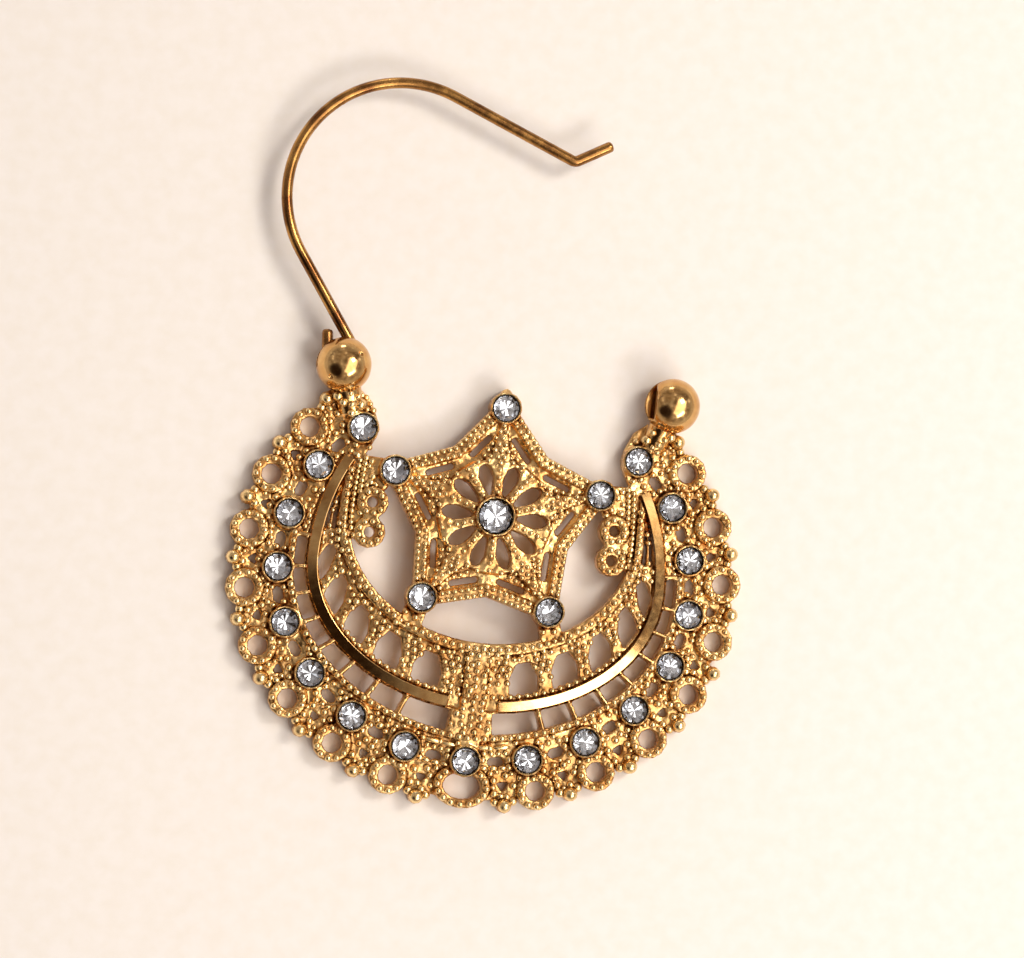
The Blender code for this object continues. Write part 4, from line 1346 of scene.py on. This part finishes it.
class EARRING_OT_cast_plate(bpy.types.Operator):
    """Makes the softened casting that carries everything else"""

    bl_idname = "earring.cast_plate"
    bl_label = "Cast plate"

    def execute(self, context):
        make_plate(context.scene.earring_sizes)
        return {"FINISHED"}


class EARRING_OT_band_and_struts(bpy.types.Operator):
    """Makes the polished band and the struts of the ladder"""

    bl_idname = "earring.band_and_struts"
    bl_label = "Band and struts"

    def execute(self, context):
        make_band(context.scene.earring_sizes)
        make_struts()
        return {"FINISHED"}


class EARRING_OT_edge_granules(bpy.types.Operator):
    """Lays the granules of the outer loops, the edge and the horns"""

    bl_idname = "earring.edge_granules"
    bl_label = "Edge granules"

    def execute(self, context):
        lay_granules("loop_granulation", "loops")
        lay_granules("edge_balls", "edge", roundness=3)
        lay_granules("horn_beads", "horns", roundness=3)
        return {"FINISHED"}


class EARRING_OT_crescent_granules(bpy.types.Operator):
    """Lays the granules of the crescent between its edges"""

    bl_idname = "earring.crescent_granules"
    bl_label = "Crescent granules"

    def execute(self, context):
        lay_granules("inner_edge_granulation", "inner")
        lay_granules("rail_granulation", "rail")
        lay_granules("stone_surround_granulation", "surrounds")
        lay_granules("loose_granulation", "loose")
        return {"FINISHED"}


class EARRING_OT_star_granules(bpy.types.Operator):
    """Lays the granules of the star and its brackets"""

    bl_idname = "earring.star_granules"
    bl_label = "Star granules"

    def execute(self, context):
        lay_granules("star_granulation", "star")
        lay_granules("bracket_granulation", "brackets")
        return {"FINISHED"}


class EARRING_OT_stones(bpy.types.Operator):
    """Makes the cut stones and their bezels"""

    bl_idname = "earring.stones"
    bl_label = "Stones and bezels"

    def execute(self, context):
        make_stones()
        make_bezels()
        return {"FINISHED"}


class EARRING_OT_balls(bpy.types.Operator):
    """Makes the hinge ball and the catch ball"""

    bl_idname = "earring.balls"
    bl_label = "Balls"

    def execute(self, context):
        make_balls(context.scene.earring_sizes)
        return {"FINISHED"}


class EARRING_OT_ear_wire(bpy.types.Operator):
    """Makes the ear wire"""

    bl_idname = "earring.ear_wire"
    bl_label = "Ear wire"

    def execute(self, context):
        make_wire()
        return {"FINISHED"}


OPERATORS = (
    EARRING_OT_stage,
    EARRING_OT_cast_plate,
    EARRING_OT_band_and_struts,
    EARRING_OT_edge_granules,
    EARRING_OT_crescent_granules,
    EARRING_OT_star_granules,
    EARRING_OT_stones,
    EARRING_OT_balls,
    EARRING_OT_ear_wire,
)


class EARRING_PT_panel(bpy.types.Panel):
    """Lists the earring's pieces and settings in the sidebar"""

    bl_idname = "EARRING_PT_panel"
    bl_label = "Hoop earring"
    bl_space_type = "VIEW_3D"
    bl_region_type = "UI"
    bl_category = "Earring"

    def draw(self, context):
        for group in (context.scene.earring_sizes, context.scene.earring_colours):
            box = self.layout.box()
            for name in group.__annotations__:
                box.prop(group, name)
        for operator in OPERATORS:
            self.layout.operator(operator.bl_idname)


CLASSES = (EarringSizes, EarringColours, *OPERATORS, EARRING_PT_panel)


def register():
    for item in CLASSES:
        bpy.utils.register_class(item)
    bpy.types.Scene.earring_sizes = PointerProperty(type=EarringSizes)
    bpy.types.Scene.earring_colours = PointerProperty(type=EarringColours)


def unregister():
    del bpy.types.Scene.earring_colours
    del bpy.types.Scene.earring_sizes
    for item in reversed(CLASSES):
        bpy.utils.unregister_class(item)


def main():
    register()
    bpy.ops.earring.stage()
    bpy.ops.earring.cast_plate()
    bpy.ops.earring.band_and_struts()
    bpy.ops.earring.edge_granules()
    bpy.ops.earring.crescent_granules()
    bpy.ops.earring.star_granules()
    bpy.ops.earring.stones()
    bpy.ops.earring.balls()
    bpy.ops.earring.ear_wire()


if __name__ == "__main__":
    main()
